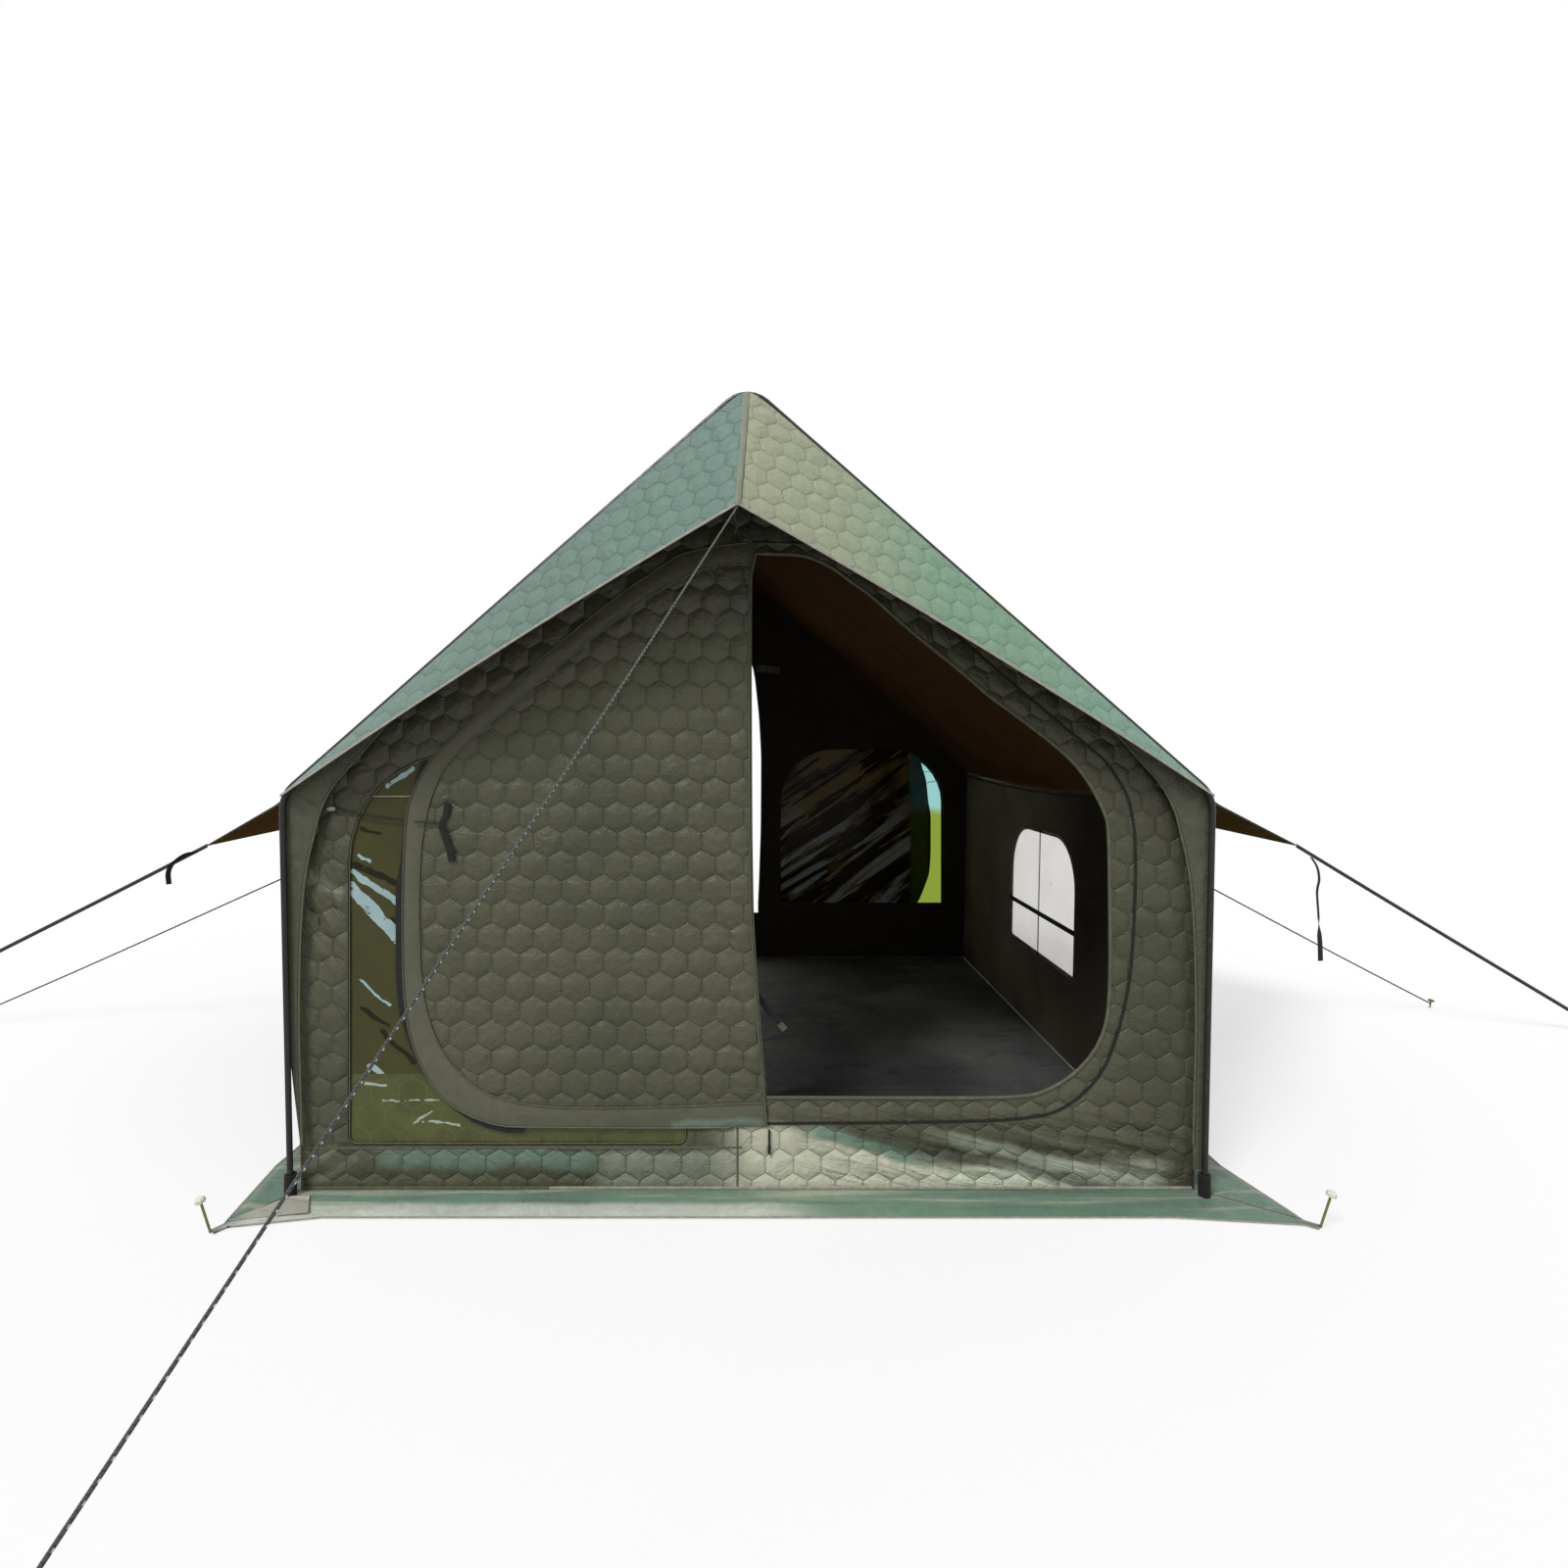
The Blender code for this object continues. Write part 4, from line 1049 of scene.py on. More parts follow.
def pole_finish():
    finish = Finish("black_pole", metallic=0.3, specular_ior_level=0.5)
    scuff = finish.noise(30, 5, 0.7, at=finish.place)
    finish.set("Base Color", finish.between(scuff, 0.5, 0.85, (0.011, 0.010, 0.008), (0.05, 0.048, 0.04)))
    finish.set("Roughness", finish.ramp(scuff, (0.3, 0.32), (0.8, 0.55)))
    finish.bump(finish.noise(400, 2, 0.5, at=finish.place) * 0.00005)
    return finish.made


def peg_finish(head):
    """A brass-coloured rod, under a cream plastic head on a corner peg."""
    finish = Finish("corner_peg" if head else "peg", specular_ior_level=0.5)
    wear = finish.noise(60, 4, 0.7, at=finish.place)
    colour = finish.between(wear, 0.3, 0.75, (0.23, 0.20, 0.07), (0.12, 0.11, 0.05))
    metal = finish.ramp(wear, (0.3, 0.7), (0.7, 0.4))
    if head:
        up = finish.math("GREATER_THAN", finish.place[2], PEG_HEAD_Z)
        colour = finish.mix(up, colour, (0.72, 0.74, 0.60))
        metal = metal * (1.0 - up)
    finish.set("Base Color", colour)
    finish.set("Metallic", metal)
    finish.set("Roughness", finish.ramp(wear, (0.3, 0.3), (0.8, 0.6)))
    finish.bump(wear * 0.0003)
    return finish.made


# Shapes that several pieces share


def stacked(x, y, z):
    """Points out of their coordinates, where one number stands for all."""
    return np.stack(np.broadcast_arrays(x, y, z), 1)


def rectangle(x, y):
    return np.array([(-x, -y), (x, -y), (x, y), (-x, y)])


def arched(left, right, foot, top, foot_reach, top_reach):
    """An outline whose two lower and two upper corners are rounded."""
    return rounded(
        [(left, foot, foot_reach), (right, foot, foot_reach), (right, top, top_reach), (left, top, top_reach)]
    )


def rolls(height, seed, length, fade, stretch=((1, 0), (0, 1)), lift=0):
    """Shallow rolls in a panel, that run out beside its seams and edges."""

    def bump(points, clear):
        return height * (waves(points @ stretch, seed, length) + lift) * soft_step(clear / fade)

    return bump


def fly_z(x, y):
    """Height of the fly's outer face: a rounded ridge, sagging between the two arches."""
    slack = 1 - (y / HALF) ** 2
    out = np.minimum(np.abs(x) / EAVE_X, 1)
    height = APEX_Z - FLY_DROP - SLOPE * np.hypot(x, RIDGE_ROUND)
    return height - slack * (RIDGE_SAG * (1 - out) + EAVE_SAG * out)


def under_fly(x, y):
    return fly_z(x, y) - 0.006 * RAFTER - SEWN


def pole_z(x):
    return APEX_Z - SLOPE * np.hypot(x, POLE_ROUND)


def on_end(face):
    """Puts a flat outline (x, z) on an end's plane."""
    return lambda points, out=0.0: stacked(points[:, 0], face - out, points[:, 1])


def on_side(inset):
    """Puts a flat outline (y, z) on the right side's leaning plane."""
    face = SIDE_FACE - inset
    return lambda points, out=0.0: stacked(face + LEG_LEAN * points[:, 1] + out, points[:, 0], points[:, 1])


def on_ground(height):
    return lambda points, out=0.0: stacked(points[:, 0], points[:, 1], height + out)


def bow(end, z):
    return BOW_SHARE[end] * np.interp(z, BOW_Z, BOW_X)


# Fly, visors and awnings


def fly():
    """The roof in one sheet, in coordinates that lie flat on its slopes."""
    width, length = EAVE_X * RAFTER, HALF - POLE_R - 0.0045

    def place(points, out):
        x, y = points[:, 0] / RAFTER, points[:, 1]
        lean = x / np.hypot(x, RIDGE_ROUND)
        lift = out - PUFF
        return stacked(x + lift * lean * SLOPE / RAFTER, y, fly_z(x, y) + lift / RAFTER)

    ridge = np.array([(0.0, 0.004 - length), (0.0, length - 0.004)])
    weave = Weave(axes=((0, 1), (1, 0)), pitch=VISOR_PITCH)
    bump = rolls(0.0012, 3, 0.5, 0.05)
    parts = [panel([rectangle(width, length)], place, PUFF, [ridge], weave, bump=bump, step=2)]
    for side in (-1, 1):
        x, y = side * (EAVE_X - 0.007), np.linspace(-length, length, 60)
        edge = stacked(x, y, fly_z(x, y) - 0.0015)
        parts.append(sweep(edge, flat_section(0.018, 0.002), (side, 0, -SLOPE), 2))
    fabric(
        "roof_fly_cloth", parts, "outer brown hem",
    )  # fmt: skip


def visor_half(side, tip, back, step):
    """One quilted triangle of a visor, and its hem."""
    corner = np.array((side * VISOR_END, back - VISOR_CORNER, pole_z(VISOR_END) - VISOR_CORNER))
    edge = corner - tip
    along = edge / np.linalg.norm(edge)
    normal = np.cross((0, back, APEX_Z) - tip, along)
    normal *= -np.sign(normal[1]) / np.linalg.norm(normal)
    up = np.cross(normal, along)
    up *= np.sign(up[2])

    def hem_at(x):
        share = np.clip((x - tip[0]) / edge[0], 0, 1)
        arch = 4 * VISOR_ARCH * share * (1 - share)
        return tip + share[:, None] * edge + arch[:, None] * (0, 0.4, 1)

    def place(points, out):
        x, z = points.T
        low = hem_at(x)
        high = pole_z(x) - VISOR_DROP
        share = np.clip((z - low[:, 2]) / np.maximum(high - low[:, 2], 1e-4), 0, 1)
        y = low[:, 1] + (back - low[:, 1]) * share
        return stacked(x, y, z) + (out + THIN)[:, None] * normal

    share = np.linspace(0, 1, 60) ** 1.3
    hem = hem_at(tip[0] + edge[0] * share)
    top = side * VISOR_END * share[::-1]
    outline = np.vstack([hem[:, [0, 2]], np.stack([top, pole_z(top) - VISOR_DROP], 1)])
    weave = Weave(tip[[0, 2]], np.stack([up[[0, 2]], along[[0, 2]]], 1), VISOR_PITCH)
    bump = rolls(0.0018, 11 + side, 0.22, 0.05, ((1, 0), (0, 0.35)))
    cloth = panel([outline], place, PUFF, weave=weave, bump=bump, step=step)
    return cloth, sweep(hem + (0, -0.0035, 0.003), flat_section(0.009, 0.0024), np.cross(along, normal), 2)


def visor(end):
    """Two quilted triangles sewn along the ridge, from the arch out to a point."""
    back = -HALF - POLE_R - SEWN
    tip = np.array((VISOR_TIP_X, -HALF - VISOR_REACH, VISOR_TIP_Z))
    halves = [visor_half(side, tip, back, 1 if end == "front" else 2) for side in (-1, 1)]
    top = (0, back - 0.004, APEX_Z - SLOPE * POLE_ROUND - VISOR_DROP)
    ridge = np.linspace(tip + (0, -0.004, 0.002), top, 12)
    parts = [part for pair in zip(*halves) for part in pair]
    parts.append(sweep(ridge, flat_section(0.014, 0.0024), OUTWARD, 3))
    fabric(
        end + "_visor_cloth", parts, "outer brown hem strip",
        end == "rear",
    )  # fmt: skip


def awning(name, turned):
    """A brown triangle from the eave out to a point."""
    length, inner = HALF - 2 * POLE_R, EAVE_X + SEWN
    root, low = EAVE_X + AWNING_CORNER, EAVE_Z - FLY_DROP - AWNING_CORNER

    def place(points, out):
        y, x = points.T
        share = 1 - np.abs(y) / length
        reach = root + (AWNING_TIP_X - root) * share
        start_z, end_z = fly_z(EAVE_X, y), low + (AWNING_TIP_Z - low) * share
        z = start_z + (end_z - start_z) * np.clip((x - inner) / (reach - inner), 0, 1)
        return stacked(x, y, z + out - 0.001)

    def folds(points, clear):
        y, x = points.T
        turn = y / (AWNING_TIP_X + 0.25 - x)
        return (0.0012 * np.sin(turn * 24) + 0.0015 * waves(points, 21, 0.4)) * soft_step(clear / 0.12)

    edge = inner + AWNING_CORNER
    outline = [(-length, edge), (0.0, AWNING_TIP_X), (length, edge), (length, inner), (-length, inner)]
    parts = [panel([np.array(outline)], place, bump=folds, weave=Weave(pitch=0.12))]
    for side in (-1, 1):
        line = np.linspace((side * length, inner + 0.008), (0.0, AWNING_TIP_X - 0.004), 30)
        parts.append(sweep(place(line, 0.0), flat_section(0.016, 0.003), (0, side, 0), 2))
    fabric(
        name + "_cloth", parts, "outer awning binding",
        turned,
    )  # fmt: skip


# End walls


def window_ring(rim=0.0):
    sides = (WINDOW_OUTER - rim, WINDOW_INNER + rim, WINDOW_FOOT - rim, WINDOW_TOP + rim)
    return arched(*sides, 0.02 + rim, 0.30 + rim)


def opening_ring(end, hinge_x):
    """The doorway, whose hinge side bows away with the flap."""
    heights = np.linspace(0.259, 1.767, 24)
    left = np.stack([hinge_x + STRIP - bow(end, heights), heights], 1)
    if end == "rear":
        left[:, 0] += np.interp(heights, HEAD_Z, HEAD_X)
    right = smooth(OPENING_EDGE, 3) + (hinge_x, 0)
    keep = right[:, 0] > left[-1, 0] + 0.03
    return np.vstack([left, right[keep]])


def end_wall(end, hinge_x):
    turned = end == "rear"
    foot, eave = (SIDE_FACE + LEG_LEAN * z - 0.0065 for z in (WALL_FOOT, EAVE_Z))
    gable = np.linspace(-eave, eave, 49)
    top = np.stack([gable, under_fly(gable, END_FACE) - 0.001], 1)
    outline = np.vstack([[(-foot, WALL_FOOT)], top, [(foot, WALL_FOOT)]])[::-1]
    opening, window = opening_ring(end, hinge_x), window_ring()
    zip_line = smooth(ZIP_LINE, 3) + (hinge_x, 0)
    foot_seam = np.array([(0.004 - foot, FOOT_SEAM_Z), (hinge_x - 0.05, FOOT_SEAM_Z + 0.002)])
    mid_seam = np.array([(hinge_x - 0.063, 0.012), (hinge_x - 0.063, 0.175)])

    def pulls(points, clear):
        """Shallow rolls, and slanting drags low down beside the door and at the window's outer side."""
        x, z = points.T
        drag = np.sin((z + FOLD_SLANT * x) * 110) * soft_step((0.30 - z) / 0.2) * soft_step((x - 0.13) / 0.3)
        tug = np.sin((z + 1.5 * x) * 62) * soft_step((-1.05 - x) / 0.08)
        tug *= soft_step((0.95 - z) / 0.1) * soft_step((z - 0.45) / 0.15)
        return (0.0008 * waves(points, 5, 0.30) - 0.0026 * drag + 0.0030 * tug) * soft_step(clear / 0.03)

    cloth = panel(
        [outline, opening, window], on_end(END_FACE + PUFF), PUFF, [zip_line[2:], foot_seam, mid_seam],
        Weave((1.135, 0.81)), bump=pulls, step=2 if turned else 1,
    )  # fmt: skip
    face = END_FACE + THIN
    up_on, low = on_end(face), WALL_FOOT + 0.004
    seam, hem = flat_section(*SEAM), flat_section(0.0026, 0.008)
    parts = [
        cloth,
        sweep(up_on(zip_line, 0.001), flat_section(0.0035, 0.007), INWARD, 2),
        sweep(up_on(window), round_section(0.0020), INWARD, 3, loop=True),
        sweep(up_on(window_ring(0.004), -0.0012), round_section(0.0016, 6), INWARD, 2, loop=True),
        sweep(up_on(opening, 0.0005), round_section(0.0048, 10), INWARD, 3, loop=True),
    ]
    for line, spacing, out, section, slot in (
        ([(0.003 - foot, low), (-0.55, low)], 0.1, 0.0004, hem, 3),
        ([(-0.55, low), (foot - 0.003, low)], 0.1, 0.0004, hem, 4),
        (foot_seam, 0.05, -0.0005, seam, 3),
        (mid_seam, 0.05, -0.0005, seam, 3),
    ):
        parts.append(sweep(up_on(divided(line, spacing, False), out), section, INWARD, slot))
    if turned:
        tag = smooth([(-0.016, 1.700), (-0.080, 1.697), (-0.152, 1.686)], 4)
        parts.append(sweep(up_on(tag, -0.012), flat_section(0.0016, 0.042), INWARD, 5))
    else:
        tab = np.array(FRONT_TAB) + (hinge_x, face, 0)
        parts.append(sweep(smooth(tab[:3], 5), flat_section(0.0016, 0.016), INWARD, 2))
        parts.append(sweep(smooth(tab[2:], 3), flat_section(0.002, 0.018), INWARD, 3))
    fabric(
        end + "_wall_cloth", parts, "quilt dark binding piping hem tag",
        turned,
    )  # fmt: skip
    film(end, turned)


def film(end, turned):
    """The window's film, with its hazy folded foot."""
    place = on_end(END_FACE + 0.0064)
    outer, inner = WINDOW_OUTER - FILM_RIM, WINDOW_INNER + FILM_RIM
    clear = arched(outer, inner, POCKET_TOP, WINDOW_TOP + FILM_RIM, 0.004, 0.31)
    pocket = arched(outer, inner, WINDOW_FOOT - FILM_RIM, POCKET_TOP, 0.02, 0.004)
    fold = divided([(outer + 0.015, 1.094), (inner - 0.015, 1.094)], 0.1, False)
    creases = rolls(0.0016, 31, 0.5, 0.03, ((0.8, -3.0), (0.6, 4.0)))
    parts = [
        panel([clear], place, bump=creases, thick=0.0012, backing=0),
        panel([pocket], place, bump=rolls(0.0012, 33, 0.12, 0.02), thick=0.0014, slot=1, backing=2),
        sweep(place(fold, 0.002), flat_section(0.001, 0.003), INWARD, 3),
    ]
    looks = ("rear_film" if turned else "film") + " pocket dark hem"
    fabric(
        end + "_window_film_sheet", parts, looks,
        turned=turned,
    )  # fmt: skip


def gusset(end, side, node):
    """A plain panel between the leg and the wall, with a free hem."""
    y = -HALF + POLE_R + SEWN + 0.0015
    flip = np.array((side, 1))
    hem = smooth(GUSSET_HEM, 3)
    top = np.array([EAVE_X - SEWN, 1.20, 1.16, 1.04, 0.95])
    rest = np.stack([top, fly_z(top, y) + (0.010, 0.006, 0.0, -0.012, -0.012)], 1)
    foot = [(hem[-1, 0], 0.070), (FOOT_X + 0.002, 0.070)] if side > 0 else [(hem[-1, 0], 0.10)]
    leg = [(FOOT_X + LEG_LEAN * 0.38, 0.38), (EAVE_X - SEWN, 1.05)]
    outline = np.vstack([foot, leg, rest, hem]) * flip

    def drag(points, clear):
        x, z = (points * flip).T
        fold = np.sin((z - 0.7 * (x - 1.2)) * 90) * soft_step((z - 0.85) / 0.15) * soft_step((1.2 - z) / 0.1)
        return (0.0012 * waves(points, 41, 0.2) + 0.0010 * fold) * soft_step(clear / 0.02)

    edge = on_end(y)(hem * flip, 0.001)
    seam = divided(np.array([(1.182, 1.068), (1.266, 1.112)]) * flip, 0.02, False)
    parts = [
        panel([outline[::side]], on_end(y + 0.0002), bump=drag, thick=0.0014, backing=0),
        sweep(edge, flat_section(0.0020, 0.006), INWARD, 2),
        sweep(edge + (side * 0.004, 0.0004, 0.0), flat_section(0.0014, 0.002), INWARD, 1),
        sweep(on_end(y)(seam, 0.0012), flat_section(0.0018, 0.004), INWARD, 2),
    ]
    fabric(
        node + "_cloth", parts, "gusset binding piping",
        end == "rear",
    )  # fmt: skip


# Door flap


def flap(end, hinge_x):
    heights = np.linspace(0.180, 1.797, 30)
    hinge = np.stack([hinge_x - bow(end, heights), heights], 1)
    outer = smooth(FLAP_EDGE, 3) + (hinge_x, 0)
    outer = outer[outer[:, 0] < hinge[-1, 0] - 0.02]
    outline = np.vstack([hinge, outer])
    band = smooth(BAND_EDGE, 3) + (hinge_x, 0)
    for i in (0, -1):
        band[i, 0] = hinge_x - bow(end, band[i, 1]) - 0.004
    quilted = np.vstack([band, hinge[(hinge[:, 1] > 0.25) & (hinge[:, 1] < 1.73)]])

    def soften(points, clear):
        """A rounded band, and shallow folds that run into the tie and the hinge."""
        x, z = (points - (hinge_x, 0)).T
        plain = ~inside(points, quilted)
        round_band = 0.0024 * soft_step(clear / 0.03) * plain
        shallow = 0.0010 * waves(points, 51, 0.25) * soft_step(clear / 0.03)
        near = soft_step((x + 0.25) / 0.25)
        ruck = 0.0012 * np.sin(z * 150 + 3 * waves(points, 53, 0.3)) * near * soft_step(clear / 0.02) * ~plain
        return round_band + shallow + ruck

    weave = Weave((hinge_x - 0.549, 1.305))
    cloth = panel(
        [outline], on_end(FLAP_Y + 0.001), FLAP_PUFF, [band], weave, thick=0.003, bump=soften, backing=0,
        band=lambda middles: ~inside(middles, quilted),
    )  # fmt: skip
    points, quilt = cloth[0], cloth[2]
    y = points[:, 1]
    plain = ~inside(weave.to_panel(quilt), quilted) & (y < FLAP_Y + 0.0005)
    flatter = y + 0.8 * FLAP_PUFF * (1 - weave.seam(quilt) ** 3)
    points[:, 1] = np.where(plain, np.minimum(flatter, FLAP_Y - 0.0006), y)
    taped = outer[(outer[:, 1] < 1.19) & ((outer[:, 0] < hinge_x - 0.60) | (outer[:, 1] > 0.6))]
    out = np.gradient(taped, axis=0)
    out = np.stack([out[:, 1], -out[:, 0]], 1) / np.linalg.norm(out, axis=1)[:, None]
    middle = taped - out * (np.interp(taped[:, 1], TAPE_Z, TAPE_REACH) - 0.010)[:, None]
    up_on = on_end(FLAP_Y - 0.0012)
    parts = [
        cloth,
        sweep(up_on(band, 0.0008), round_section(0.0019), INWARD, 4),
        sweep(up_on(outer, -0.0008), round_section(0.0022), INWARD, 1),
        sweep(up_on(hinge, -0.0004), round_section(0.0026), INWARD, 1),
        sweep(up_on(middle, -0.0032), flat_section(0.0016, 0.020), INWARD, 3),
    ]
    made = build(end + "_flap_cloth", parts, "flap plain binding webbing piping", end == "rear")
    hang(made, end, hinge_x, end + "_door_flap")


# Side walls


def pane_ring(rim=0.0):
    sides = (-PANE_HALF - rim, PANE_HALF + rim, PANE_FOOT - rim, PANE_TOP + rim)
    return arched(*sides, 0.012 + rim, 0.20 + rim)


def side_wall(side, turned):
    length = SIDE_END
    across = np.linspace(-length, length, 31)
    top = np.stack([across, under_fly(SIDE_FACE + LEG_LEAN * EAVE_Z, across) - 0.001], 1)
    outline = np.vstack([[(-length, WALL_FOOT), (length, WALL_FOOT)], top[::-1]])
    ring, rim = pane_ring(), pane_ring(FILM_RIM)
    foot_seam = np.array([(0.004 - length, FOOT_SEAM_Z), (length - 0.004, FOOT_SEAM_Z)])
    cord = np.stack([across, top[:, 1] - 0.012 - 0.004 * np.abs(np.sin(across * 9))], 1)
    up_on = on_side(THIN)
    bump = rolls(0.0008, 61, 0.3, 0.03)
    parts = [
        panel([outline, ring], on_side(PUFF), PUFF, [foot_seam], Weave((0, 0.6)), bump=bump),
        sweep(up_on(ring), round_section(0.0035), OUTWARD, 2, loop=True),
        sweep(up_on(divided(foot_seam, 0.1, False), -0.0003), flat_section(*SEAM), OUTWARD, 3),
        sweep(on_side(0.010)(cord), round_section(0.0026), OUTWARD, 2),
    ]
    fabric(
        side + "_wall_cloth", parts, "flap side binding piping",
        turned,
    )  # fmt: skip
    pane = panel([rim], on_side(0.0065), bump=rolls(0.0010, 63, 0.25, 0.03), thick=0.0012, backing=0)
    fabric(
        side + "_window_sheet", [pane], "pane",
        turned, side + "_window_film",
    )  # fmt: skip
    bars = []
    for line, width in (
        ([(0.0, PANE_FOOT - 0.012), (0.0, PANE_TOP + 0.012)], 0.011),
        ([(-PANE_HALF - 0.012, BAR_Z), (PANE_HALF + 0.012, BAR_Z)], 0.021),
    ):
        bars.append(sweep(on_side(0.0095)(divided(line, 0.03, False)), flat_section(0.0016, width), OUTWARD))
    made = build(side + "_window_cross", bars, "webbing", turned)
    rides(made, "tent", [side + "_window_bars"])


# Ground


def groundsheet():
    def wrinkles(points, clear):
        roll = waves(points, 71, 0.55) + 0.6 * waves(points @ ((1, 0.3), (0.1, 2.2)), 73, 0.4)
        ridge = 1 - np.abs(waves(points @ ((0.8, 0.4), (-0.3, 1.7)), 75, 0.6))
        return (0.003 * (roll + 1.2) + 0.006 * np.clip(ridge, 0, 1) ** 6) * soft_step(clear / 0.06)

    ring = rectangle(*FLOOR_HALF)
    sheet = panel([ring], on_ground(0.0022), bump=wrinkles, thick=0.0018, weave=Weave(pitch=0.14), backing=0)
    fabric("groundsheet_cloth", [sheet], "floor")


def skirt_corner(tip, x, y):
    """The skirt's mitre from the wall's corner to its pegged tip, and the tab at the tip."""
    inner, tip = Vector((x, y)), Vector(tip)
    along = (tip - inner).normalized()
    to_front = Vector((-abs(along.y), -abs(along.x)))
    if along.x < 0:
        to_front.x = -to_front.x
    end = tip + along * TAB_LENGTH
    return [inner, tip, end, end + to_front * TAB_WIDTH, tip + to_front * TAB_WIDTH]


def skirts():
    inner_x, inner_y, gap = SIDE_FACE - 0.006, END_FACE + 0.006, 0.0004
    left = [tuple(p + Vector((gap, 0))) for p in skirt_corner(TIP_LEFT, -inner_x, inner_y)]
    right = [tuple(p - Vector((gap, 0))) for p in skirt_corner(TIP_RIGHT, inner_x, inner_y)]
    edge = [(x * inner_x, END_FACE - SKIRT_FRONT) for x in (0.9, 0.45, 0.0, -0.45, -0.9)]
    front = np.array([*right, *edge, *left[::-1]])[::-1]
    outer_x = inner_x + SKIRT_SIDE
    side = np.array([
        (inner_x, inner_y + gap), (TIP_RIGHT[0], TIP_RIGHT[1] + gap), (outer_x, inner_y * 0.9),
        (outer_x, -inner_y * 0.9), (-TIP_LEFT[0], -TIP_LEFT[1] - gap), (inner_x, -inner_y - gap),
    ])  # fmt: skip
    place = on_ground(SKIRT_Z)
    for name, outline, seed, stretch, turned in (
        ("front", front, 81, ((0.35, 0), (0, 1.6)), False),
        ("rear", front, 81, ((0.35, 0), (0, 1.6)), True),
        ("right", side, 83, ((1.6, 0), (0, 0.35)), False),
        ("left", side, 83, ((1.6, 0), (0, 0.35)), True),
    ):
        folds = rolls(0.0042, seed, 0.16, 0.025, stretch, lift=1)
        rim = place(divided(closed(outline), 0.03, False), 0.0004)
        parts = [
            panel([outline], place, bump=folds, thick=0.0022, backing=0),
            sweep(rim, flat_section(0.006, 0.0024), (0.3, 0.2, 0), 1),
        ]
        looks = "skirt hem"
        if name == "front":
            lap = panel(
                [np.array(LAP)], on_ground(SKIRT_Z + LAP_LIFT), thick=0.0022, backing=0,
                band=lambda middles: np.full(len(middles), 2),
            )  # fmt: skip
            parts.append(lap)
            looks += " lap"
        fabric(name + "_skirt_cloth", parts, looks, turned)


# Cords


def cords():
    """The lines that are stretched from the tent to their pegs."""
    for node, route, look, diameter in (
        ("front_guy_rope", FRONT_GUY, "rope", 2 * ROPE_R),
        ("left_side_rope", LEFT_SIDE_ROPE, "cord", 2 * SIDE_ROPE_R),
        ("right_side_rope", RIGHT_SIDE_ROPE, "cord", 2 * SIDE_ROPE_R),
        ("left_strap", LEFT_STRAP, "webbing", STRAP_WIDTH),
        ("right_strap", RIGHT_STRAP, "webbing", STRAP_WIDTH),
    ):
        section, across = round_section(diameter / 2), (0.2, 1, 0.1)
        if look == "webbing":
            section, across = flat_section(diameter, STRAP_CLOTH), (0, 0.5, 1)
        points = smooth(route, ROUTE_STEPS)
        made = build(node + "_line", [sweep(points, section, across)], look)
        rides(made, "tent", [node])
        route[0]


def loose(name, points, sections, across, body, nodes):
    """A short free cord or strap. Its own line is the path that it follows."""
    points = np.asarray(points, float)
    made = build(name, [sweep(points, one, across) for one in sections], "webbing")
    rides(made, body, nodes)
    points[0]


def tie(end, hinge_x):
    """The flap's tie: a doubled cord from a toggle on the wall to a knotted strap on the flap."""
    turned = end == "rear"
    turn = (-1, -1, 1) if turned else (1, 1, 1)
    on_wall, on_door, door = [end + "_wall_tie"], [end + "_flap_tie"], end + "_door"
    doubled = [round_section(0.0011, 6) + (0, offset) for offset in (-0.0019, 0.0019)]
    toggle = np.array((-1.150, END_FACE - 0.0055, 1.060))
    edge = hinge_x - 0.970
    knot = np.array((hinge_x - 0.872, FLAP_Y - 0.0085, 1.020))
    swell = np.sin(np.linspace(0, math.pi, 9))
    knob = np.linspace(toggle - (0.011, 0, 0), toggle + (0.011, 0, 0), 9)
    sections = (0.0045 + 0.0022 * swell)[:, None, None] * round_section(1.0, 12)
    piece = build(end + "_wall_tie_toggle", [sweep(knob, sections, INWARD)], "hem", turned)
    rides(piece, "tent", on_wall)
    droop = np.linspace(toggle + (0.010, 0, 0), (edge - 0.010, END_FACE - 0.0045, 1.028), 9)
    droop[:, 2] -= 0.004 * swell
    name = end + "_wall_tie_cord"
    loose(name, droop * turn, doubled, INWARD, "tent", on_wall)
    on_flap = np.linspace((edge + 0.018, knot[1], 1.025), knot, 6)
    loose(end + "_flap_tie_cord", on_flap * turn, doubled, INWARD, door, on_door)
    strap = smooth(knot + TIE_STRAP, 6)
    widths = np.interp(np.linspace(0, 1, len(strap)), [0, 0.25, 0.36, 0.5, 1], [1.0, 0.85, 0.55, 0.85, 1.0])
    section = flat_section(0.021, 0.0018) * np.stack([widths, 2 - widths], 1)[:, None]
    loose(end + "_flap_tie_strap", strap * turn, [section], OUTWARD, door, on_door)


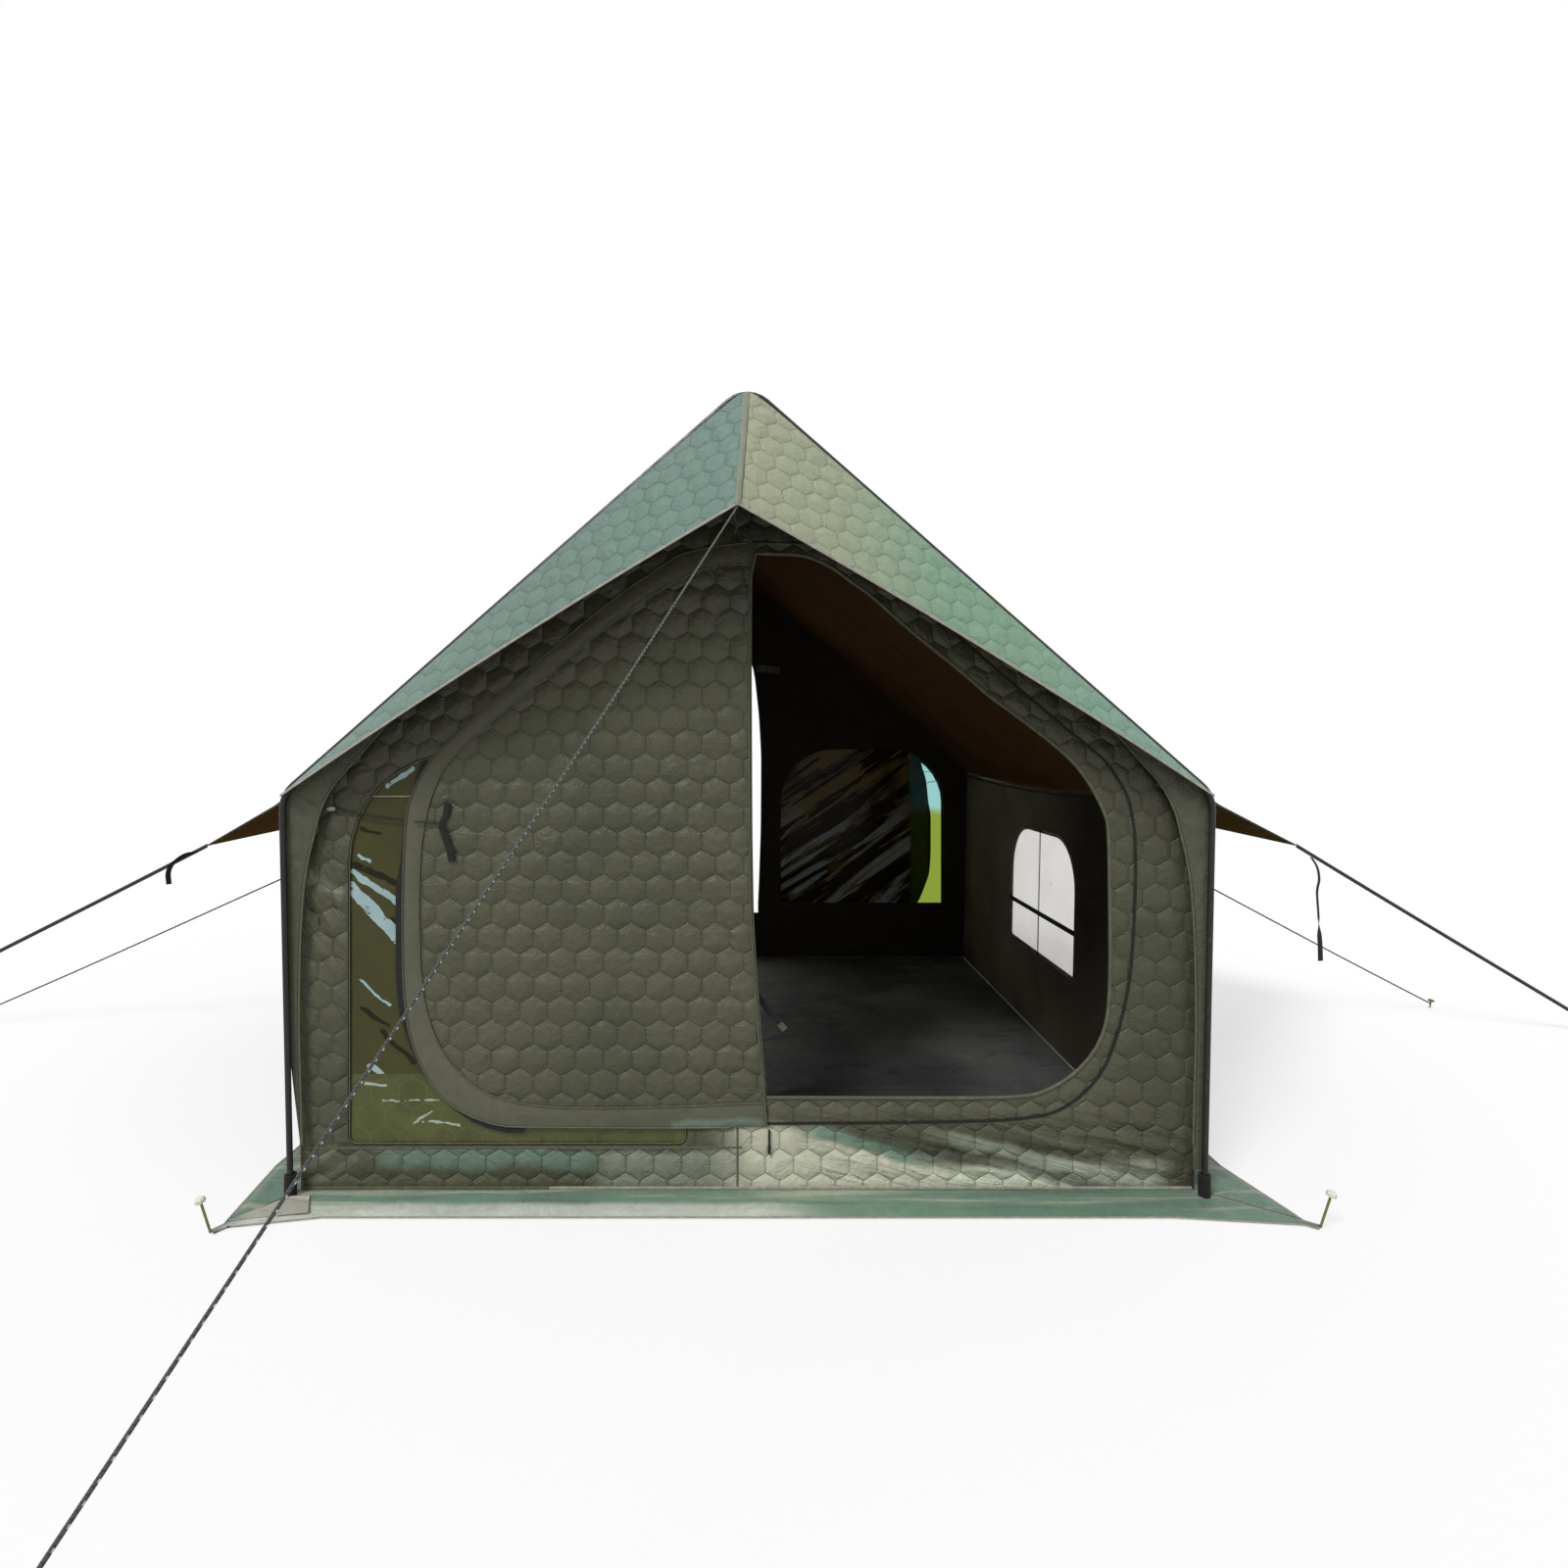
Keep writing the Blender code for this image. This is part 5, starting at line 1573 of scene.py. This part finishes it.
def tails():
    """Loose ends of the awning straps, and a knot with its short end on the front guy rope."""
    tip = np.array((VISOR_TIP_X - 0.003, -HALF - VISOR_REACH - 0.006, VISOR_TIP_Z - 0.008))
    turns = np.linspace(0, 5.5 * math.pi, 60)
    coil = tip + np.stack([0.0048 * np.cos(turns), 0.0048 * np.sin(turns), -0.0008 * turns], 1)
    end = tip + [(-0.004, -0.003, -0.024), (0.002, -0.002, -0.045), (-0.003, 0.0, -0.064)]
    end = smooth([coil[-1], *end], 5)
    strand = round_section(0.0019, 6)
    knot = build("front_guy_knot", [sweep(coil, strand, (0, 0, 1)), sweep(end, strand, OUTWARD)], "cord")
    rides(knot, "tent")
    for name, route, width, shares, turns in (
        ("right_strap_tail", RIGHT_TAIL, 0.024, [0, 0.62, 0.75, 1], [1.35, 1.25, 0.2, 0.1]),
        ("left_strap_tail", LEFT_TAIL, 0.020, [0, 1], [1.2, 0.9]),
    ):
        points = smooth([(x, 0.0, z) for x, z in route], 6)
        turn = np.interp(np.linspace(0, 1, len(points)), shares, turns)
        across = stacked(np.cos(turn), np.sin(turn), 0.0)
        loose(name, points, [flat_section(width, STRAP_CLOTH)], across, "tent", ())


# Camera, light and floor


def camera():
    data = bpy.data.cameras.new("camera")
    data.sensor_width = SENSOR
    data.lens = FOCAL_PX / IMAGE * SENSOR
    data.shift_x = (IMAGE / 2 - VANISHING_PX[0]) / IMAGE
    data.shift_y = (VANISHING_PX[1] - IMAGE / 2) / IMAGE
    data.clip_start = 0.01
    data.clip_end = 200
    made = link(bpy.data.objects.new("camera", data))
    made.matrix_world = Matrix.Translation(CAMERA_AT) @ Matrix.Rotation(math.pi / 2, 4, "X")
    bpy.context.scene.camera = made


def sky():
    """A soft world that is white to the camera."""
    world = bpy.data.worlds.new("studio")
    world.use_nodes = True
    bpy.context.scene.world = world
    wiring = Wiring(world.node_tree)
    soft = wiring.nodes["Background"]
    soft.inputs["Color"].default_value = (0.97, 0.985, 1.0, 1)
    soft.inputs["Strength"].default_value = 0.38
    white = wiring.field("ShaderNodeBackground", (1.0, 1.0, 1.0))
    light = wiring.field("ShaderNodeMixShader", wiring.seen(), Field(wiring, soft.outputs[0]), white)
    wiring.join(light, wiring.nodes["World Output"].inputs["Surface"])


def suns():
    for name, strength, angle, turn, height in SUNS:
        data = bpy.data.lights.new(name, "SUN")
        data.energy = strength
        data.angle = math.radians(angle)
        made = link(bpy.data.objects.new(name, data))
        turn, height = math.radians(turn), math.radians(height)
        flat = math.cos(height)
        towards = Vector((math.sin(turn) * flat, -math.cos(turn) * flat, math.sin(height)))
        made.rotation_mode = "QUATERNION"
        made.rotation_quaternion = towards.to_track_quat("Z", "Y")


def studio_floor():
    """A pale floor that is close to white to the camera."""
    finish = Finish("pale_floor", specular_ior_level=0.1, roughness=0.9)
    grain = finish.noise(30, 3, 0.6, at=finish.place)
    white = finish.between(grain, 0.3, 0.7, (0.955, 0.955, 0.95), (0.965, 0.965, 0.96))
    seen = finish.seen()
    finish.set("Base Color", finish.mix(seen, (0.50, 0.50, 0.49), white))
    surface = Field(finish, finish.shader.outputs[0])
    lit = finish.field("ShaderNodeMixShader", seen * 0.6, surface, finish.field("ShaderNodeEmission"))
    finish.join(lit, finish.nodes["Material Output"].inputs["Surface"])
    mesh = bpy.data.meshes.new("floor")
    mesh.from_pydata([(x, y, -0.0015) for x, y in rectangle(60, 60).tolist()], [], [(0, 1, 2, 3)])
    mesh.uv_layers.new(name="cloth")
    mesh.materials.append(finish.made)
    link(bpy.data.objects.new("floor", mesh))


def finish_nodes():
    """Better materials for the CAD pieces that stay in sight."""
    for node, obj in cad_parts.items():
        for ending, look in NODE_LOOKS:
            if node.endswith(ending):
                for slot in obj.material_slots:
                    slot.material = finishes[look]


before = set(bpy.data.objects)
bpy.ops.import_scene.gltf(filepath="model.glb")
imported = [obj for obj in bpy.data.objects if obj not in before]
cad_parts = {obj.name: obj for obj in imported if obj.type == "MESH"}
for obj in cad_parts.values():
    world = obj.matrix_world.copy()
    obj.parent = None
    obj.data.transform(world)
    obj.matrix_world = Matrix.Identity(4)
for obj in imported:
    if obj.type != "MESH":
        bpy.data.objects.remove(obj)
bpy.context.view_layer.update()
bpy.context.scene.view_settings.view_transform = "Standard"
finishes = materials()
camera()
cords()
tails()
sky()
suns()
studio_floor()
finish_nodes()
fly()
for end, hinge_x in HINGES.items():
    visor(end)
    end_wall(end, hinge_x)
    flap(end, hinge_x)
    tie(end, hinge_x)
    for side, word, other in ((-1, "left", "right"), (1, "right", "left")):
        gusset(end, side, f"{end}_{word if end == 'front' else other}_gusset")
for side, turned in (("right", False), ("left", True)):
    awning(side + "_awning", turned)
    side_wall(side, turned)
groundsheet()
skirts()
